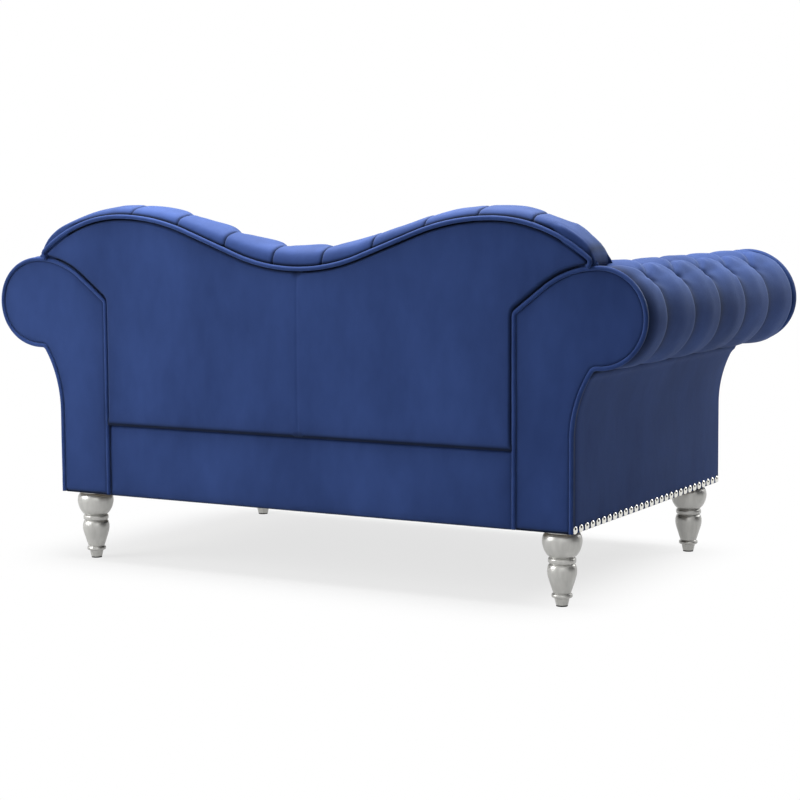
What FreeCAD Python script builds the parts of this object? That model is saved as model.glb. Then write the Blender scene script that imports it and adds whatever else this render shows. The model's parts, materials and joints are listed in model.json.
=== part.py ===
import FreeCAD, Part
import math
import os

V = FreeCAD.Vector

# Loveseat, in millimetres. X runs across, the front faces -Y, Z is up, the floor is Z = 0.
# Arm parts are drawn for the +X side and mirrored.

# Heights of the body
leg_height = 160.0
rail_top = 292.0
deck_low = 303.0
deck_top = 316.0
band_top = 314.0
panel_low = 320.0

# Depth: outer faces of the frame boards, and the covers on them
arm_back_face = 433.0
arm_front_face = -391.0
board_thick = 18.0
facing_thick = 8.0
cap_front = -447.0
welt_radius = 5.0
welt_inset = 2.5
back_frame_front = 408.0
back_frame_rear = 434.0
panel_rear = 446.0

# Outline of the rolled arm, seen from the back
arm_inner = 512.0
arm_outer = 640.0
arm_corner_height = 604.0
roll_centre = (701.0, 597.0)
roll_radius = 102.0
shoulder_radius = 196.0
flare_radius = 260.0
flare_start = 349.0
corner_round = 12.0
neck_round = 12.0

# Arm upholstery
pad_thick = 30.0
pad_low = 300.0
channel_crest = 9.0
channel_groove = -7.0
channel_back_end = -7.0
channel_front_end = 6.0
arm_pleats = (-266.0, -114.0, 38.0, 190.0, 342.0)
cap_radius = 116.0
panel_thick = 6.0
facing_inset = 9.0

# Outline of the back: a dip in the middle and a hump at each side
dip_height = 685.0
dip_radius = 440.0
hump_x = 465.0
hump_height = 795.0
hump_radius = 505.0
ear_radius = 335.0
ear_end_angle = 49.0

# Back upholstery
back_pad_side = 500.0
back_pad_low = 317.5
crown_y = 372.0
back_channel = 8.0
back_pleats = (62.0, 186.0, 310.0, 434.0)
ear_pleat = 559.0

# Seat
rail_thick = 25.0
seat_rail_outer = 518.0
spring_wire = 1.9
spring_height = 297.0
spring_turn = 19.0
spring_straight = 20.0
spring_x = (-400.0, -200.0, 0.0, 200.0, 400.0)
cushion_inner = 8.0
cushion_outer = 494.0
cushion_front = -395.0
cushion_rear = 178.0
cushion_low = 316.5
cushion_seams = (332.0, 452.0)
cushion_round = 30.0
cushion_bow = 2.0

# Legs and fixings
leg_x = 597.0
leg_back_y = 384.0
leg_front_y = -328.0
glide_thick = 3.0
bolt_radius = 4.0
nail_radius = 6.5
nail_rise = 3.5
nail_height = 169.0
arm_nail_count = 29
front_nail_count = 35
button_radius = 11.0


# Drawing helpers: an outline is a list of lines (two points) and arcs (three points)
def polar(centre, radius, degrees):
    angle = math.radians(degrees)
    return (centre[0] + radius * math.cos(angle), centre[1] + radius * math.sin(angle))


def arc(centre, radius, start, end):
    return [polar(centre, radius, a) for a in (start, (start + end) / 2, end)]


def joined(first, second):
    back = [points[::-1] for points in second[::-1]]
    bridge = [first[-1][-1], back[0][0]]
    close = [back[-1][-1], first[0][0]]
    return first + [bridge] + back + [close]


def across(y):
    return lambda point: V(point[0], y, point[1])


def along(x):
    return lambda point: V(x, point[0], point[1])


def drawn(outline, place):
    edges = []
    for points in outline:
        spots = [place(p) for p in points]
        if len(spots) == 2:
            edges.append(Part.makeLine(spots[0], spots[1]))
        else:
            edges.append(Part.Arc(spots[0], spots[1], spots[2]).toShape())
    return edges


def wire(outline, place):
    return Part.Wire(drawn(outline, place))


def closed(outline):
    return outline + [[outline[-1][-1], outline[0][0]]]


def slab(outline, y0, y1):
    return Part.Face(wire(outline, across(y0))).extrude(V(0, y1 - y0, 0))


# A round wire or cord along smoothly joined lines and arcs
def tube(edges, radius):
    first, last = edges[0], edges[-1]
    start = first.valueAt(first.FirstParameter)
    ring = Part.Circle(start, first.tangentAt(first.FirstParameter), radius).toShape()
    faces = [Part.Face(Part.Wire(ring))]
    for edge in edges:
        if len(edge.Vertexes) == 2 and edge.Curve.TypeId == "Part::GeomLine":
            move = edge.valueAt(edge.LastParameter) - edge.valueAt(edge.FirstParameter)
            faces.append(ring.extrude(move))
            ring = ring.translated(move)
        else:
            turn = math.degrees(edge.LastParameter - edge.FirstParameter)
            faces.append(ring.revolve(edge.Curve.Center, edge.Curve.Axis, turn))
            ring = ring.rotated(edge.Curve.Center, edge.Curve.Axis, turn)
    faces.append(Part.Face(Part.Wire(ring)))
    if start.distanceToPoint(last.valueAt(last.LastParameter)) < 0.01:
        faces = faces[1:-1]
    return Part.Solid(Part.makeShell(faces))


def box(x0, x1, y0, y1, z0, z1):
    return Part.makeBox(x1 - x0, y1 - y0, z1 - z0, V(x0, y0, z0))


def rod(radius, start, end):
    line = end - start
    return Part.makeCylinder(radius, line.Length, start, line)


def mirrored(shape):
    return shape.mirror(V(0, 0, 0), V(1, 0, 0))


def group(solids):
    return Part.makeCompound(solids)


def save(name, shape):
    shape.exportStep("parts/" + name + ".step")


def save_pair(name, shape):
    save(name + "_right", shape)
    save(name + "_left", mirrored(shape))


# Arm outline at an offset outwards, from the inner bottom up over the roll to the outer bottom
shoulder_centre = (roll_centre[0], roll_centre[1] + roll_radius - shoulder_radius)
flare_centre = (arm_outer + flare_radius, flare_start)


def slope_angle():
    dx = arm_inner - shoulder_centre[0]
    dz = arm_corner_height - shoulder_centre[1]
    return math.degrees(math.atan2(dz, dx) - math.acos(shoulder_radius / math.hypot(dx, dz)))


def slope_height(x, offset):
    nx, nz = polar((0, 0), 1, slope_angle())
    return shoulder_centre[1] + (shoulder_radius + offset - (x - shoulder_centre[0]) * nx) / nz


def arm_top(x, offset):
    reach = shoulder_radius + offset
    if x < polar(shoulder_centre, reach, slope_angle())[0]:
        return slope_height(x, offset)
    return shoulder_centre[1] + math.sqrt(reach ** 2 - (x - shoulder_centre[0]) ** 2)


def neck_centre():
    dx = flare_centre[0] - roll_centre[0]
    dz = flare_centre[1] - roll_centre[1]
    gap = math.hypot(dx, dz)
    r1 = roll_radius + neck_round
    r2 = flare_radius - neck_round
    forward = (r1 ** 2 - r2 ** 2 + gap ** 2) / (2 * gap)
    side = math.sqrt(r1 ** 2 - forward ** 2)
    return (roll_centre[0] + (forward * dx + side * dz) / gap,
            roll_centre[1] + (forward * dz - side * dx) / gap)


def bearing(start, end):
    return math.degrees(math.atan2(end[1] - start[1], end[0] - start[0]))


def arm_outline(offset, bottom):
    slope = slope_angle()
    corner = max(corner_round + offset, 1.0)
    corner_x = arm_inner - offset + corner
    corner_mid = (corner_x, slope_height(corner_x, offset - corner))
    neck = neck_centre()
    roll_end = bearing(roll_centre, neck)
    flare_end = bearing(flare_centre, neck)
    inner_x = arm_inner - offset
    outer_x = arm_outer + offset
    corner_arc = arc(corner_mid, corner, 180, slope)
    shoulder_arc = arc(shoulder_centre, shoulder_radius + offset, slope, 90)
    return [
        [(inner_x, bottom), corner_arc[0]],
        corner_arc,
        [corner_arc[2], shoulder_arc[0]],
        shoulder_arc,
        arc(roll_centre, roll_radius + offset, 90, 0),
        arc(roll_centre, roll_radius + offset, 0, roll_end),
        arc(neck, neck_round - offset, roll_end + 180, flare_end),
        arc(flare_centre, flare_radius - offset, flare_end, 180),
        [(outer_x, flare_start), (outer_x, bottom)],
    ]


# Arm frame
def arm_board(y0):
    upper = arm_outline(-pad_thick - 1, pad_low - 1)[0:6]
    lower = arm_outline(-panel_thick - 1, leg_height)[7:9]
    ledge = (seat_rail_outer, pad_low - 1)
    foot = [[(seat_rail_outer, leg_height), ledge], [ledge, upper[0][0]]]
    neck = [[upper[-1][-1], lower[0][0]]]
    return slab(closed(foot + upper + neck + lower), y0, y0 + board_thick)


arm_rail_y0 = arm_front_face + board_thick
arm_rail_y1 = arm_back_face - board_thick
base_board_outer = arm_outer - panel_thick - 1
base_board_top = leg_height + 25


def arm_base_board():
    board = box(seat_rail_outer, base_board_outer, arm_rail_y0, arm_rail_y1, leg_height, base_board_top)
    for y in (leg_back_y, leg_front_y):
        foot = V(leg_x, y, leg_height)
        board = board.cut(rod(bolt_radius + 0.5, foot, foot + V(0, 0, 30)))
        board = board.cut(rod(bolt_radius + 2, foot + V(0, 0, 13), foot + V(0, 0, 30)))
    return board


def arm_rails():
    spans = [
        (seat_rail_outer, seat_rail_outer + rail_thick, base_board_top, pad_low - 1),
        (base_board_outer - 22, base_board_outer, base_board_top, 245),
        (545, 575, 530, 580),
        (615, 645, 440, 500),
        (671, 731, 627, 657),
    ]
    rails = [box(x0, x1, arm_rail_y0, arm_rail_y1, z0, z1) for x0, x1, z0, z1 in spans]
    for start, end in bolt_lines():
        rails[0] = rails[0].cut(rod(bolt_radius, start, end))
    return group(rails)


# Bolts that hold each arm to the seat box
def bolt_lines():
    lines = []
    for y in (-300, 0, 300):
        start = V(seat_rail_outer - rail_thick, y, 245)
        lines.append((start, start + V(2 * rail_thick - 6, 0, 0)))
    return lines


def arm_bolts():
    bolts = []
    for start, end in bolt_lines():
        head = Part.makeSphere(9, start, V(-1, 0, 0), 0, 90, 360)
        bolts.append(rod(bolt_radius, start, end).fuse(head))
    return bolts


# Arm covers
def arm_pad_section(y, offset):
    outer = arm_outline(offset, pad_low)[0:6]
    inner = arm_outline(-pad_thick, pad_low)[0:6]
    return wire(joined(outer, inner), across(y))


def arm_pad():
    first = arm_front_face + 0.5
    last = arm_back_face - 0.5
    marks = (first,) + arm_pleats + (last,)
    stops = [(first, channel_front_end)]
    for near, far in zip(marks[:-1], marks[1:]):
        stops.append(((near + far) / 2, channel_crest))
        stops.append((far, channel_back_end if far == last else channel_groove))
    return Part.makeLoft([arm_pad_section(y, offset) for y, offset in stops], True, True)


def outside_arm_panel():
    outer = arm_outline(0, leg_height)[7:9]
    inner = arm_outline(-panel_thick, leg_height)[7:9]
    return slab(joined(outer, inner), arm_front_face - facing_thick, arm_back_face - 0.5)


def arm_back_facing():
    return slab(closed(arm_outline(-facing_inset, leg_height)), arm_back_face, arm_back_face + facing_thick)


def arm_front_facing():
    outline = closed(arm_outline(-facing_inset, leg_height))
    return slab(outline, arm_front_face - facing_thick, arm_front_face)


# Round padded cap on the front end of the roll
def arm_front_cap():
    rear = arm_front_face - 0.3
    bulge = (cap_radius, rear - 28)
    rim = (cap_radius - 10, cap_front + 10)
    face = (cap_radius - 45, cap_front)
    profile = [
        [(0, rear), (cap_radius - 6, rear)],
        [(cap_radius - 6, rear), (cap_radius - 2, rear - 14), bulge],
        [bulge, (cap_radius - 3, cap_front + 18), rim],
        [rim, (cap_radius - 24, cap_front + 3), face],
        [face, (0, cap_front)],
        [(0, cap_front), (0, rear)],
    ]
    disc = Part.Face(wire(profile, lambda p: V(p[0], p[1], 0))).revolve(V(0, 0, 0), V(0, 1, 0), 360)
    disc.translate(V(roll_centre[0], 0, roll_centre[1]))
    return disc.cut(arm_front_facing()).cut(outside_arm_panel())


def arm_back_welt():
    return tube(drawn(arm_outline(-welt_inset, leg_height + 0.5), across(arm_back_face + 4.5)), welt_radius)


def arm_front_welt():
    outline = arm_outline(-welt_inset, leg_height + 0.5)[0:3]
    outline.append(arc(shoulder_centre, shoulder_radius - welt_inset, slope_angle(), 120))
    return tube(drawn(outline, across(arm_front_face - 4.5)), welt_radius)


def roll_spot(degrees, y):
    if degrees <= 90:
        return polar(roll_centre, roll_radius, degrees)
    return polar(shoulder_centre, shoulder_radius, degrees)


def button(spot, normal, sink):
    centre = spot - normal * sink
    disc = Part.makeCylinder(button_radius, 4, centre, normal)
    dome = Part.makeSphere(button_radius, centre + normal * 4, normal, 0, 90, 360)
    flat = Part.makeBox(60, 60, 60, V(-30, -30, 0))
    turn = FreeCAD.Rotation(V(0, 0, 1), normal)
    flat.Placement = FreeCAD.Placement(centre + normal * 9, turn, V(0, 0, 0)).multiply(flat.Placement)
    return disc.fuse(dome).cut(flat).removeSplitter()


def arm_buttons():
    halves = [(a + b) / 2 for a, b in zip(arm_pleats[:-1], arm_pleats[1:])]
    rows = [(50, arm_pleats, 14), (86, halves, 3), (108, arm_pleats, 14)]
    buttons = []
    for degrees, stations, sink in rows:
        x, z = roll_spot(degrees, 0)
        nx, nz = polar((0, 0), 1, degrees)
        buttons += [button(V(x, y, z), V(nx, 0, nz), sink) for y in stations]
    return group(buttons)


def nail(spot, normal):
    ball = (nail_radius ** 2 + nail_rise ** 2) / (2 * nail_rise)
    sweep = math.degrees(math.asin(1 - nail_rise / ball))
    dome = Part.makeSphere(ball, spot - normal * (ball - nail_rise), normal, sweep, 90, 360)
    return dome.fuse(rod(1.0, spot, spot - normal * 10))


def arm_nailheads():
    first = arm_front_face
    step = (arm_back_face - 8 - first) / (arm_nail_count - 1)
    spots = [V(arm_outer, first + i * step, nail_height) for i in range(arm_nail_count)]
    return group([nail(spot, V(1, 0, 0)) for spot in spots])


# Back outline at an inset, from the left ear to the right ear
dip_centre = (0.0, dip_height + dip_radius)
hump_centre = (hump_x, hump_height - hump_radius)
ear_centre = (hump_x, hump_height - ear_radius)


def hump_slope():
    gap = math.hypot(hump_centre[0] - dip_centre[0], hump_centre[1] - dip_centre[1])
    return bearing(dip_centre, hump_centre) - math.degrees(math.acos((dip_radius + hump_radius) / gap))


def back_contour(inset, end_angle):
    slope = hump_slope()
    dip_arc = arc(dip_centre, dip_radius + inset, -90, slope)
    hump_arc = arc(hump_centre, hump_radius - inset, slope + 180, 90)
    half = [dip_arc, [dip_arc[2], hump_arc[0]], hump_arc, arc(ear_centre, ear_radius - inset, 90, end_angle)]
    other = [[(-x, z) for x, z in points[::-1]] for points in half[::-1]]
    return other + half


def contour_height(x):
    x = abs(x)
    slope = hump_slope()
    low = polar(dip_centre, dip_radius, slope)
    high = polar(hump_centre, hump_radius, slope + 180)
    if x < low[0]:
        return dip_centre[1] - math.sqrt(dip_radius ** 2 - x ** 2)
    if x < high[0]:
        return low[1] + (high[1] - low[1]) * (x - low[0]) / (high[0] - low[0])
    if x < hump_x:
        return hump_centre[1] + math.sqrt(hump_radius ** 2 - (x - hump_x) ** 2)
    return ear_centre[1] + math.sqrt(ear_radius ** 2 - (x - hump_x) ** 2)


def crown_rise(x):
    drop = (hump_height - contour_height(x)) / (hump_height - dip_height)
    if abs(x) < hump_x:
        return 21 + 23 * drop
    return 21 + 8 * drop


def arm_block(offset):
    outline = closed(arm_outline(offset, leg_height))
    block = slab(outline, back_frame_front - 20, panel_rear + 20)
    return block.fuse(mirrored(block))


def back_board(inset, y0, y1, gap):
    contour = back_contour(inset, ear_end_angle - 9)
    tip = contour[-1][-1]
    ledge = arm_corner_height - 10
    side = arm_inner + 50
    skirt = [tip, (tip[0], ledge), (side, ledge), (side, panel_low)]
    skirt += [(-x, z) for x, z in skirt[::-1]]
    outline = contour + [[a, b] for a, b in zip(skirt[:-1], skirt[1:])]
    return slab(outline, y0, y1).cut(arm_block(gap))


# Back frame
post_centres = (-470.0, 0.0, 470.0)
post_half = 25.0
top_rail_low = 600.0
bottom_rail_top = 372.0
back_frame_mid = (back_frame_front + back_frame_rear) / 2


def dowels():
    pins = []
    for x in post_centres:
        for z in (bottom_rail_top, top_rail_low):
            for shift in (-12, 12):
                foot = V(x + shift, back_frame_mid, z - 20)
                pins.append(rod(5, foot, foot + V(0, 0, 40)))
    return pins


def without(shape, cutters):
    for cutter in cutters:
        shape = shape.cut(cutter)
    return shape


def back_top_rail():
    rail = back_board(15, back_frame_front, back_frame_rear, 11)
    side = box(-655, 655, back_frame_front, back_frame_rear, top_rail_low, hump_height)
    return without(rail.common(side), dowels())


def back_bottom_rail():
    rail = box(-495, 495, back_frame_front, back_frame_rear, rail_top, bottom_rail_top)
    return without(rail, dowels())


def back_posts():
    posts = []
    for x in post_centres:
        post = box(x - post_half, x + post_half, back_frame_front, back_frame_rear, bottom_rail_top, top_rail_low)
        posts.append(without(post, dowels()))
    return group(posts)


# Steel plates that hold the back to the seat box, on the front faces of the two rails
def back_brackets():
    plates = []
    for x in (-465, -150, 150, 465):
        foot = box(x - 20, x + 20, 356, back_frame_front, rail_top, rail_top + 3)
        stem = box(x - 20, x + 20, back_frame_front - 3, back_frame_front, rail_top, 360)
        plate = foot.fuse(stem).removeSplitter()
        plates.append(plate)
    return group(plates)


# Back upholstery
def back_section(x, puff, low):
    rim = contour_height(x)
    top = rim + crown_rise(x) + 0.35 * puff - 1
    step = max(rim - 12, low + 2)
    edge = max(rim - 4, step + 4)
    far = back_frame_rear - 0.3
    ear = max(abs(x) - back_pad_side, 0) / 190
    front_high = (318 + 34 * ear - puff, max(top - 52, low + 12))
    front_low = (front_high[0] + 6, low)
    face = [[front_high, front_low]]
    if low == back_pad_low:
        front_mid = (198 - puff, 500)
        front_low = (188 + back_channel - puff, low)
        face = [[front_high, front_mid], [front_mid, front_low]]
    crown = (crown_y, top)
    rear_mid = ((far + crown_y) / 2 + 12, (edge + top) / 2 + 0.2 * (top - edge))
    front_mid_top = ((front_high[0] + crown_y) / 2 - 9, (front_high[1] + top) / 2 + 12)
    outline = [
        [(back_frame_front, low), (back_frame_front, step)],
        [(back_frame_front, step), (far, step)],
        [(far, step), (far, edge)],
        [(far, edge), rear_mid, crown],
        [crown, front_mid_top, front_high],
    ]
    return wire(closed(outline + face), along(x))


def back_pad():
    pleats = sorted([-x for x in back_pleats] + list(back_pleats))
    stops = [(x, -back_channel) for x in pleats]
    stops += [((near + far) / 2, back_channel) for near, far in zip(pleats[:-1], pleats[1:])]
    stops += [(-back_pad_side, back_channel), (back_pad_side, back_channel)]
    pad = Part.makeLoft([back_section(x, puff, back_pad_low) for x, puff in sorted(stops)], True, True)
    ear_stops = [(back_pad_side, 8), (ear_pleat, -8), (600, 5), (635, 8), (662, 5), (684, -6)]
    ear = Part.makeLoft([back_section(x, puff, arm_top(x, 12)) for x, puff in ear_stops], True, True)
    return pad.fuse([ear, mirrored(ear)]).removeSplitter()


def outside_back_panel():
    return back_board(6.5, back_frame_rear, panel_rear, 7)


def back_welt():
    return tube(drawn(back_contour(0.5, ear_end_angle), across(panel_rear - 4)), welt_radius)


def back_buttons():
    spots = [(x, 680, 10) for x in (-434, -310, -186, 186, 310, 434)]
    spots += [(x, 640, 10) for x in (-62, 62)]
    spots += [(x, 590, 0) for x in (-372, -248, -124, 0, 124, 248, 372)]
    spots += [(x, 510, 10) for x in (-434, -310, -186, -62, 62, 186, 310, 434)]
    buttons = []
    for x, z, sink in spots:
        high = contour_height(x) + crown_rise(x) - 52
        share = (z - 500) / (high - 500)
        y = 198 + 120 * share
        normal = V(0, 500 - high, 120).normalize()
        buttons.append(button(V(x, y, z), normal, sink + 6))
    return group(buttons)


# Seat box
def seat_rail(x0, x1, y0, y1):
    return box(x0, x1, y0, y1, leg_height, rail_top)


seat_front = -388.0
seat_back = 384.0
seat_back_rear = arm_back_face - 1
seat_front_in = seat_front + rail_thick
seat_side_in = seat_rail_outer - rail_thick


def seat_side_rail():
    rail = seat_rail(seat_side_in, seat_rail_outer, seat_front_in, seat_back)
    return without(rail, [rod(bolt_radius, start, end) for start, end in bolt_lines()])


def corner_blocks():
    blocks = []
    size = 70
    for x, y in ((-1, -1), (1, -1), (-1, 1), (1, 1)):
        corner_y = seat_front_in if y < 0 else seat_back
        points = [V(x * seat_side_in, corner_y, 180), V(x * (seat_side_in - size), corner_y, 180),
                  V(x * seat_side_in, corner_y - y * size, 180)]
        face = Part.Face(Part.makePolygon(points + points[:1]))
        blocks.append(face.extrude(V(0, 0, 50)))
    return group(blocks)


spring_front = seat_front + rail_thick / 2
spring_back = seat_back + 12


def spring(x):
    turns = int((spring_back - spring_front) / (2 * spring_turn))
    pitch = (spring_back - spring_front) / turns
    half = pitch / 2
    edges = []
    start = V(x - spring_straight, spring_front, spring_height)
    side = 1
    for i in range(turns):
        y = spring_front + i * pitch
        end = V(x + side * spring_straight, y, spring_height)
        edges.append(Part.makeLine(start, end))
        middle = V(end.x + side * half, y + half, spring_height)
        start = V(end.x, y + pitch, spring_height)
        edges.append(Part.Arc(end, middle, start).toShape())
        side = -side
    edges.append(Part.makeLine(start, V(x + side * spring_straight, spring_back, spring_height)))
    return tube(edges, spring_wire)


def spring_clips():
    clips = []
    for x in spring_x:
        for y in (spring_front, spring_back):
            block = box(x - 10, x + 10, y - 7, y + 7, rail_top, spring_height + 4)
            hole = rod(spring_wire + 0.2, V(x - 20, y, spring_height), V(x + 20, y, spring_height))
            clips.append(block.cut(hole))
    return group(clips)


def front_nailheads():
    first = -497.0
    step = -2 * first / (front_nail_count - 1)
    return group([nail(V(first + i * step, seat_front - 6, nail_height), V(0, -1, 0)) for i in range(front_nail_count)])


# Loose seat cushions: crowned top and bottom, sides drawn in between the corners
def cushion_outline(inset):
    r = cushion_round
    x0 = cushion_inner + inset + r
    x1 = cushion_outer - inset - r
    y0 = cushion_front + inset + r
    y1 = cushion_rear - inset - r
    centres = [(x0, y0), (x1, y0), (x1, y1), (x0, y1)]
    outline = []
    for i in range(4):
        heading = 90 * i
        follow = centres[(i + 1) % 4]
        start = polar(centres[i], r, heading - 90 + cushion_bow)
        end = polar(follow, r, heading - 90 - cushion_bow)
        half = math.hypot(end[0] - start[0], end[1] - start[1]) / 2
        middle = ((start[0] + end[0]) / 2, (start[1] + end[1]) / 2)
        waist = polar(middle, half * math.tan(math.radians(cushion_bow / 2)), heading + 90)
        outline += [[start, waist, end], arc(follow, r, heading - 90 - cushion_bow, heading + cushion_bow)]
    return outline


def level(z):
    return lambda point: V(point[0], point[1], z)


def seat_cushion():
    low, high = cushion_seams
    stops = [(cushion_low, 55), (cushion_low + 5, 20), (low, 0), ((low + high) / 2, 6),
             (high, 0), (high + 12, 22), (high + 20, 60), (high + 25, 120)]
    return Part.makeLoft([wire(cushion_outline(inset), level(z)) for z, inset in stops], True, True)


def cushion_welts():
    return group([tube(drawn(cushion_outline(-1), level(z)), welt_radius - 0.5) for z in cushion_seams])


# Legs
def leg(x, y):
    z0 = glide_thick
    profile = [
        [(0, z0), (13.3, z0)],
        [(13.3, z0), (17, 17)],
        [(17, 17), (20, 17)],
        [(20, 17), (22.3, 21.5), (20, 26)],
        [(20, 26), (27.5, 46), (32.3, 74)],
        [(32.3, 74), (31.8, 82), (28, 90)],
        [(28, 90), (30.8, 96), (28, 102)],
        [(28, 102), (43, 138), (38, 156)],
        [(38, 156), (37, 156)],
        [(37, 156), (37, leg_height)],
        [(37, leg_height), (0, leg_height)],
        [(0, leg_height), (0, z0)],
    ]
    body = Part.Face(wire(profile, across(0))).revolve(V(0, 0, 0), V(0, 0, 1), 360)
    body = body.cut(rod(bolt_radius, V(0, 0, 105), V(0, 0, leg_height + 1)))
    body = body.cut(rod(2, V(0, 0, 0), V(0, 0, 15)))
    return body.translated(V(x, y, 0))


leg_spots = [V(leg_x, leg_back_y, 0), V(leg_x, leg_front_y, 0), V(-leg_x, leg_back_y, 0), V(-leg_x, leg_front_y, 0)]


def leg_bolts():
    return group([rod(bolt_radius, s + V(0, 0, 105), s + V(0, 0, base_board_top + 8)) for s in leg_spots])


def tee_nuts():
    nuts = []
    for s in leg_spots:
        top = s + V(0, 0, base_board_top)
        nut = rod(11, top, top + V(0, 0, 2)).fuse(rod(bolt_radius + 2, top - V(0, 0, 12), top))
        nuts.append(nut.cut(rod(bolt_radius, top - V(0, 0, 20), top + V(0, 0, 20))))
    return group(nuts)


def leg_glides():
    glides = []
    for s in leg_spots:
        disc = rod(12, s, s + V(0, 0, glide_thick))
        glides.append(disc.fuse(rod(2, s, s + V(0, 0, 15))).removeSplitter())
    return group(glides)


def build():
    os.makedirs("parts", exist_ok=True)
    save_pair("arm_front_board", arm_board(arm_front_face))
    save_pair("arm_back_board", arm_board(arm_back_face - board_thick))
    save_pair("arm_base_board", arm_base_board())
    save_pair("arm_rails", arm_rails())
    save_pair("arm_pad", arm_pad())
    save_pair("outside_arm_panel", outside_arm_panel())
    save_pair("arm_back_facing", arm_back_facing())
    save_pair("arm_front_facing", arm_front_facing())
    save_pair("arm_front_cap", arm_front_cap())
    save_pair("arm_back_welt", arm_back_welt())
    save("arm_front_welts", group([arm_front_welt(), mirrored(arm_front_welt())]))
    save_pair("arm_buttons", arm_buttons())
    save_pair("arm_nailheads", arm_nailheads())
    bolts = arm_bolts()
    save("arm_bolts", group(bolts + [mirrored(bolt) for bolt in bolts]))
    save("back_top_rail", back_top_rail())
    save("back_bottom_rail", back_bottom_rail())
    save("back_posts", back_posts())
    save("back_dowels", group(dowels()))
    save("back_brackets", back_brackets())
    save("back_pad", back_pad())
    save("outside_back_panel", outside_back_panel())
    save("back_welt", back_welt())
    save("back_buttons", back_buttons())
    save("back_rail_cover", box(-506, 506, back_frame_rear, back_frame_rear + panel_thick, leg_height, band_top))
    save("front_rail_cover", box(-506, 506, seat_front - panel_thick, seat_front, leg_height, band_top))
    save("front_nailheads", front_nailheads())
    save("seat_front_rail", seat_rail(-seat_rail_outer, seat_rail_outer, seat_front, seat_front_in))
    save("seat_back_rail", seat_rail(-seat_rail_outer, seat_rail_outer, seat_back, seat_back_rear))
    save_pair("seat_side_rail", seat_side_rail())
    save("seat_centre_rail", box(-25, 25, seat_front_in, seat_back, 170, 230))
    save("seat_corner_blocks", corner_blocks())
    save("seat_springs", group([spring(x) for x in spring_x]))
    save("spring_clips", spring_clips())
    save("deck_pad", box(-500, 500, seat_front + 2, back_frame_front - 4, deck_low, deck_top))
    save("dust_cover", box(-515, 515, seat_front + 3, back_frame_rear - 3, leg_height - 1.5, leg_height))
    save_pair("seat_cushion", seat_cushion())
    save_pair("seat_cushion_welts", cushion_welts())
    for name, s in zip(("back_right", "front_right", "back_left", "front_left"), leg_spots):
        save("leg_" + name, leg(s.x, s.y))
    save("leg_bolts", leg_bolts())
    save("tee_nuts", tee_nuts())
    save("leg_glides", leg_glides())


build()
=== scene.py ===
import json
import math
import bpy
import bmesh
import numpy as np
from mathutils import Euler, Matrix, Vector, geometry, noise


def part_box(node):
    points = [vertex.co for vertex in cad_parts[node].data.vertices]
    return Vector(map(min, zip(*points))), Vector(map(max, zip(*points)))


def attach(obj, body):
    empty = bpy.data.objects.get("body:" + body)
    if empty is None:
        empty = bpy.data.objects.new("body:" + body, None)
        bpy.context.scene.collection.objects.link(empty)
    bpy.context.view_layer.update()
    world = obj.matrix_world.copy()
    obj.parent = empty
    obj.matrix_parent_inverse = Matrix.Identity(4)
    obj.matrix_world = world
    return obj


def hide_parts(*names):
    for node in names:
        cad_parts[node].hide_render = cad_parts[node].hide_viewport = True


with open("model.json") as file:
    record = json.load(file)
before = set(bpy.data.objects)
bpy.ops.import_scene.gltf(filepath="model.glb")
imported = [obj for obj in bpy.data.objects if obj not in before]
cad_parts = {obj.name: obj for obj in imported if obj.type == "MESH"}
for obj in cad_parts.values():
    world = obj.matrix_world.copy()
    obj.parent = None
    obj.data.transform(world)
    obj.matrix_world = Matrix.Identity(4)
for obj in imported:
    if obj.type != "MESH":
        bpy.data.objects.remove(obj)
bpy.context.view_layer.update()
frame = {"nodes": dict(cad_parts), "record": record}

print("frame loaded")

# all sizes in metres; arms are drawn for the +X side and mirrored for the other one
arm = {"inner": 0.512, "outer": 0.645, "cornerHeight": 0.604, "rollX": 0.701, "rollZ": 0.597,
       "rollRadius": 0.102, "shoulderRadius": 0.196, "flareRadius": 0.260, "flareStart": 0.349,
       "cornerRound": 0.012, "neckRound": 0.012, "bottom": 0.160, "padLow": 0.300, "backFace": 0.433,
       "frontFace": -0.391, "fuller": {"right": 0.010, "left": 0.0}, "fullerFrom": 0.45}
back = {"dipHeight": 0.685, "dipRadius": 0.440, "humpX": 0.465, "humpHeight": 0.795, "humpRadius": 0.505,
        "earRadius": 0.335, "earEnd": 50, "tipRadius": 0.011, "tipEnd": -70, "panelLow": 0.320,
        "panelRear": 0.446, "side": 0.500}
bothSides = (("right", 1), ("left", -1))


# small drawing helpers
def arcPoints(centre, radius, start, end, step=0.005):
    count = max(3, int(abs(math.radians(end - start)) * radius / step) + 1)
    angles = np.radians(np.linspace(start, end, count))
    return np.stack([centre[0] + radius * np.cos(angles), centre[1] + radius * np.sin(angles)], 1)


def bearing(start, end):
    return math.degrees(math.atan2(end[1] - start[1], end[0] - start[0]))


def resample(points, step):
    points = np.asarray(points, float)
    keep = np.concatenate([[True], np.linalg.norm(np.diff(points, axis=0), axis=1) > 1e-7])
    points = points[keep]
    length = np.concatenate([[0], np.cumsum(np.linalg.norm(np.diff(points, axis=0), axis=1))])
    marks = np.linspace(0, length[-1], max(2, int(round(length[-1] / step)) + 1))
    return np.stack([np.interp(marks, length, points[:, k]) for k in range(points.shape[1])], 1), marks


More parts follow.
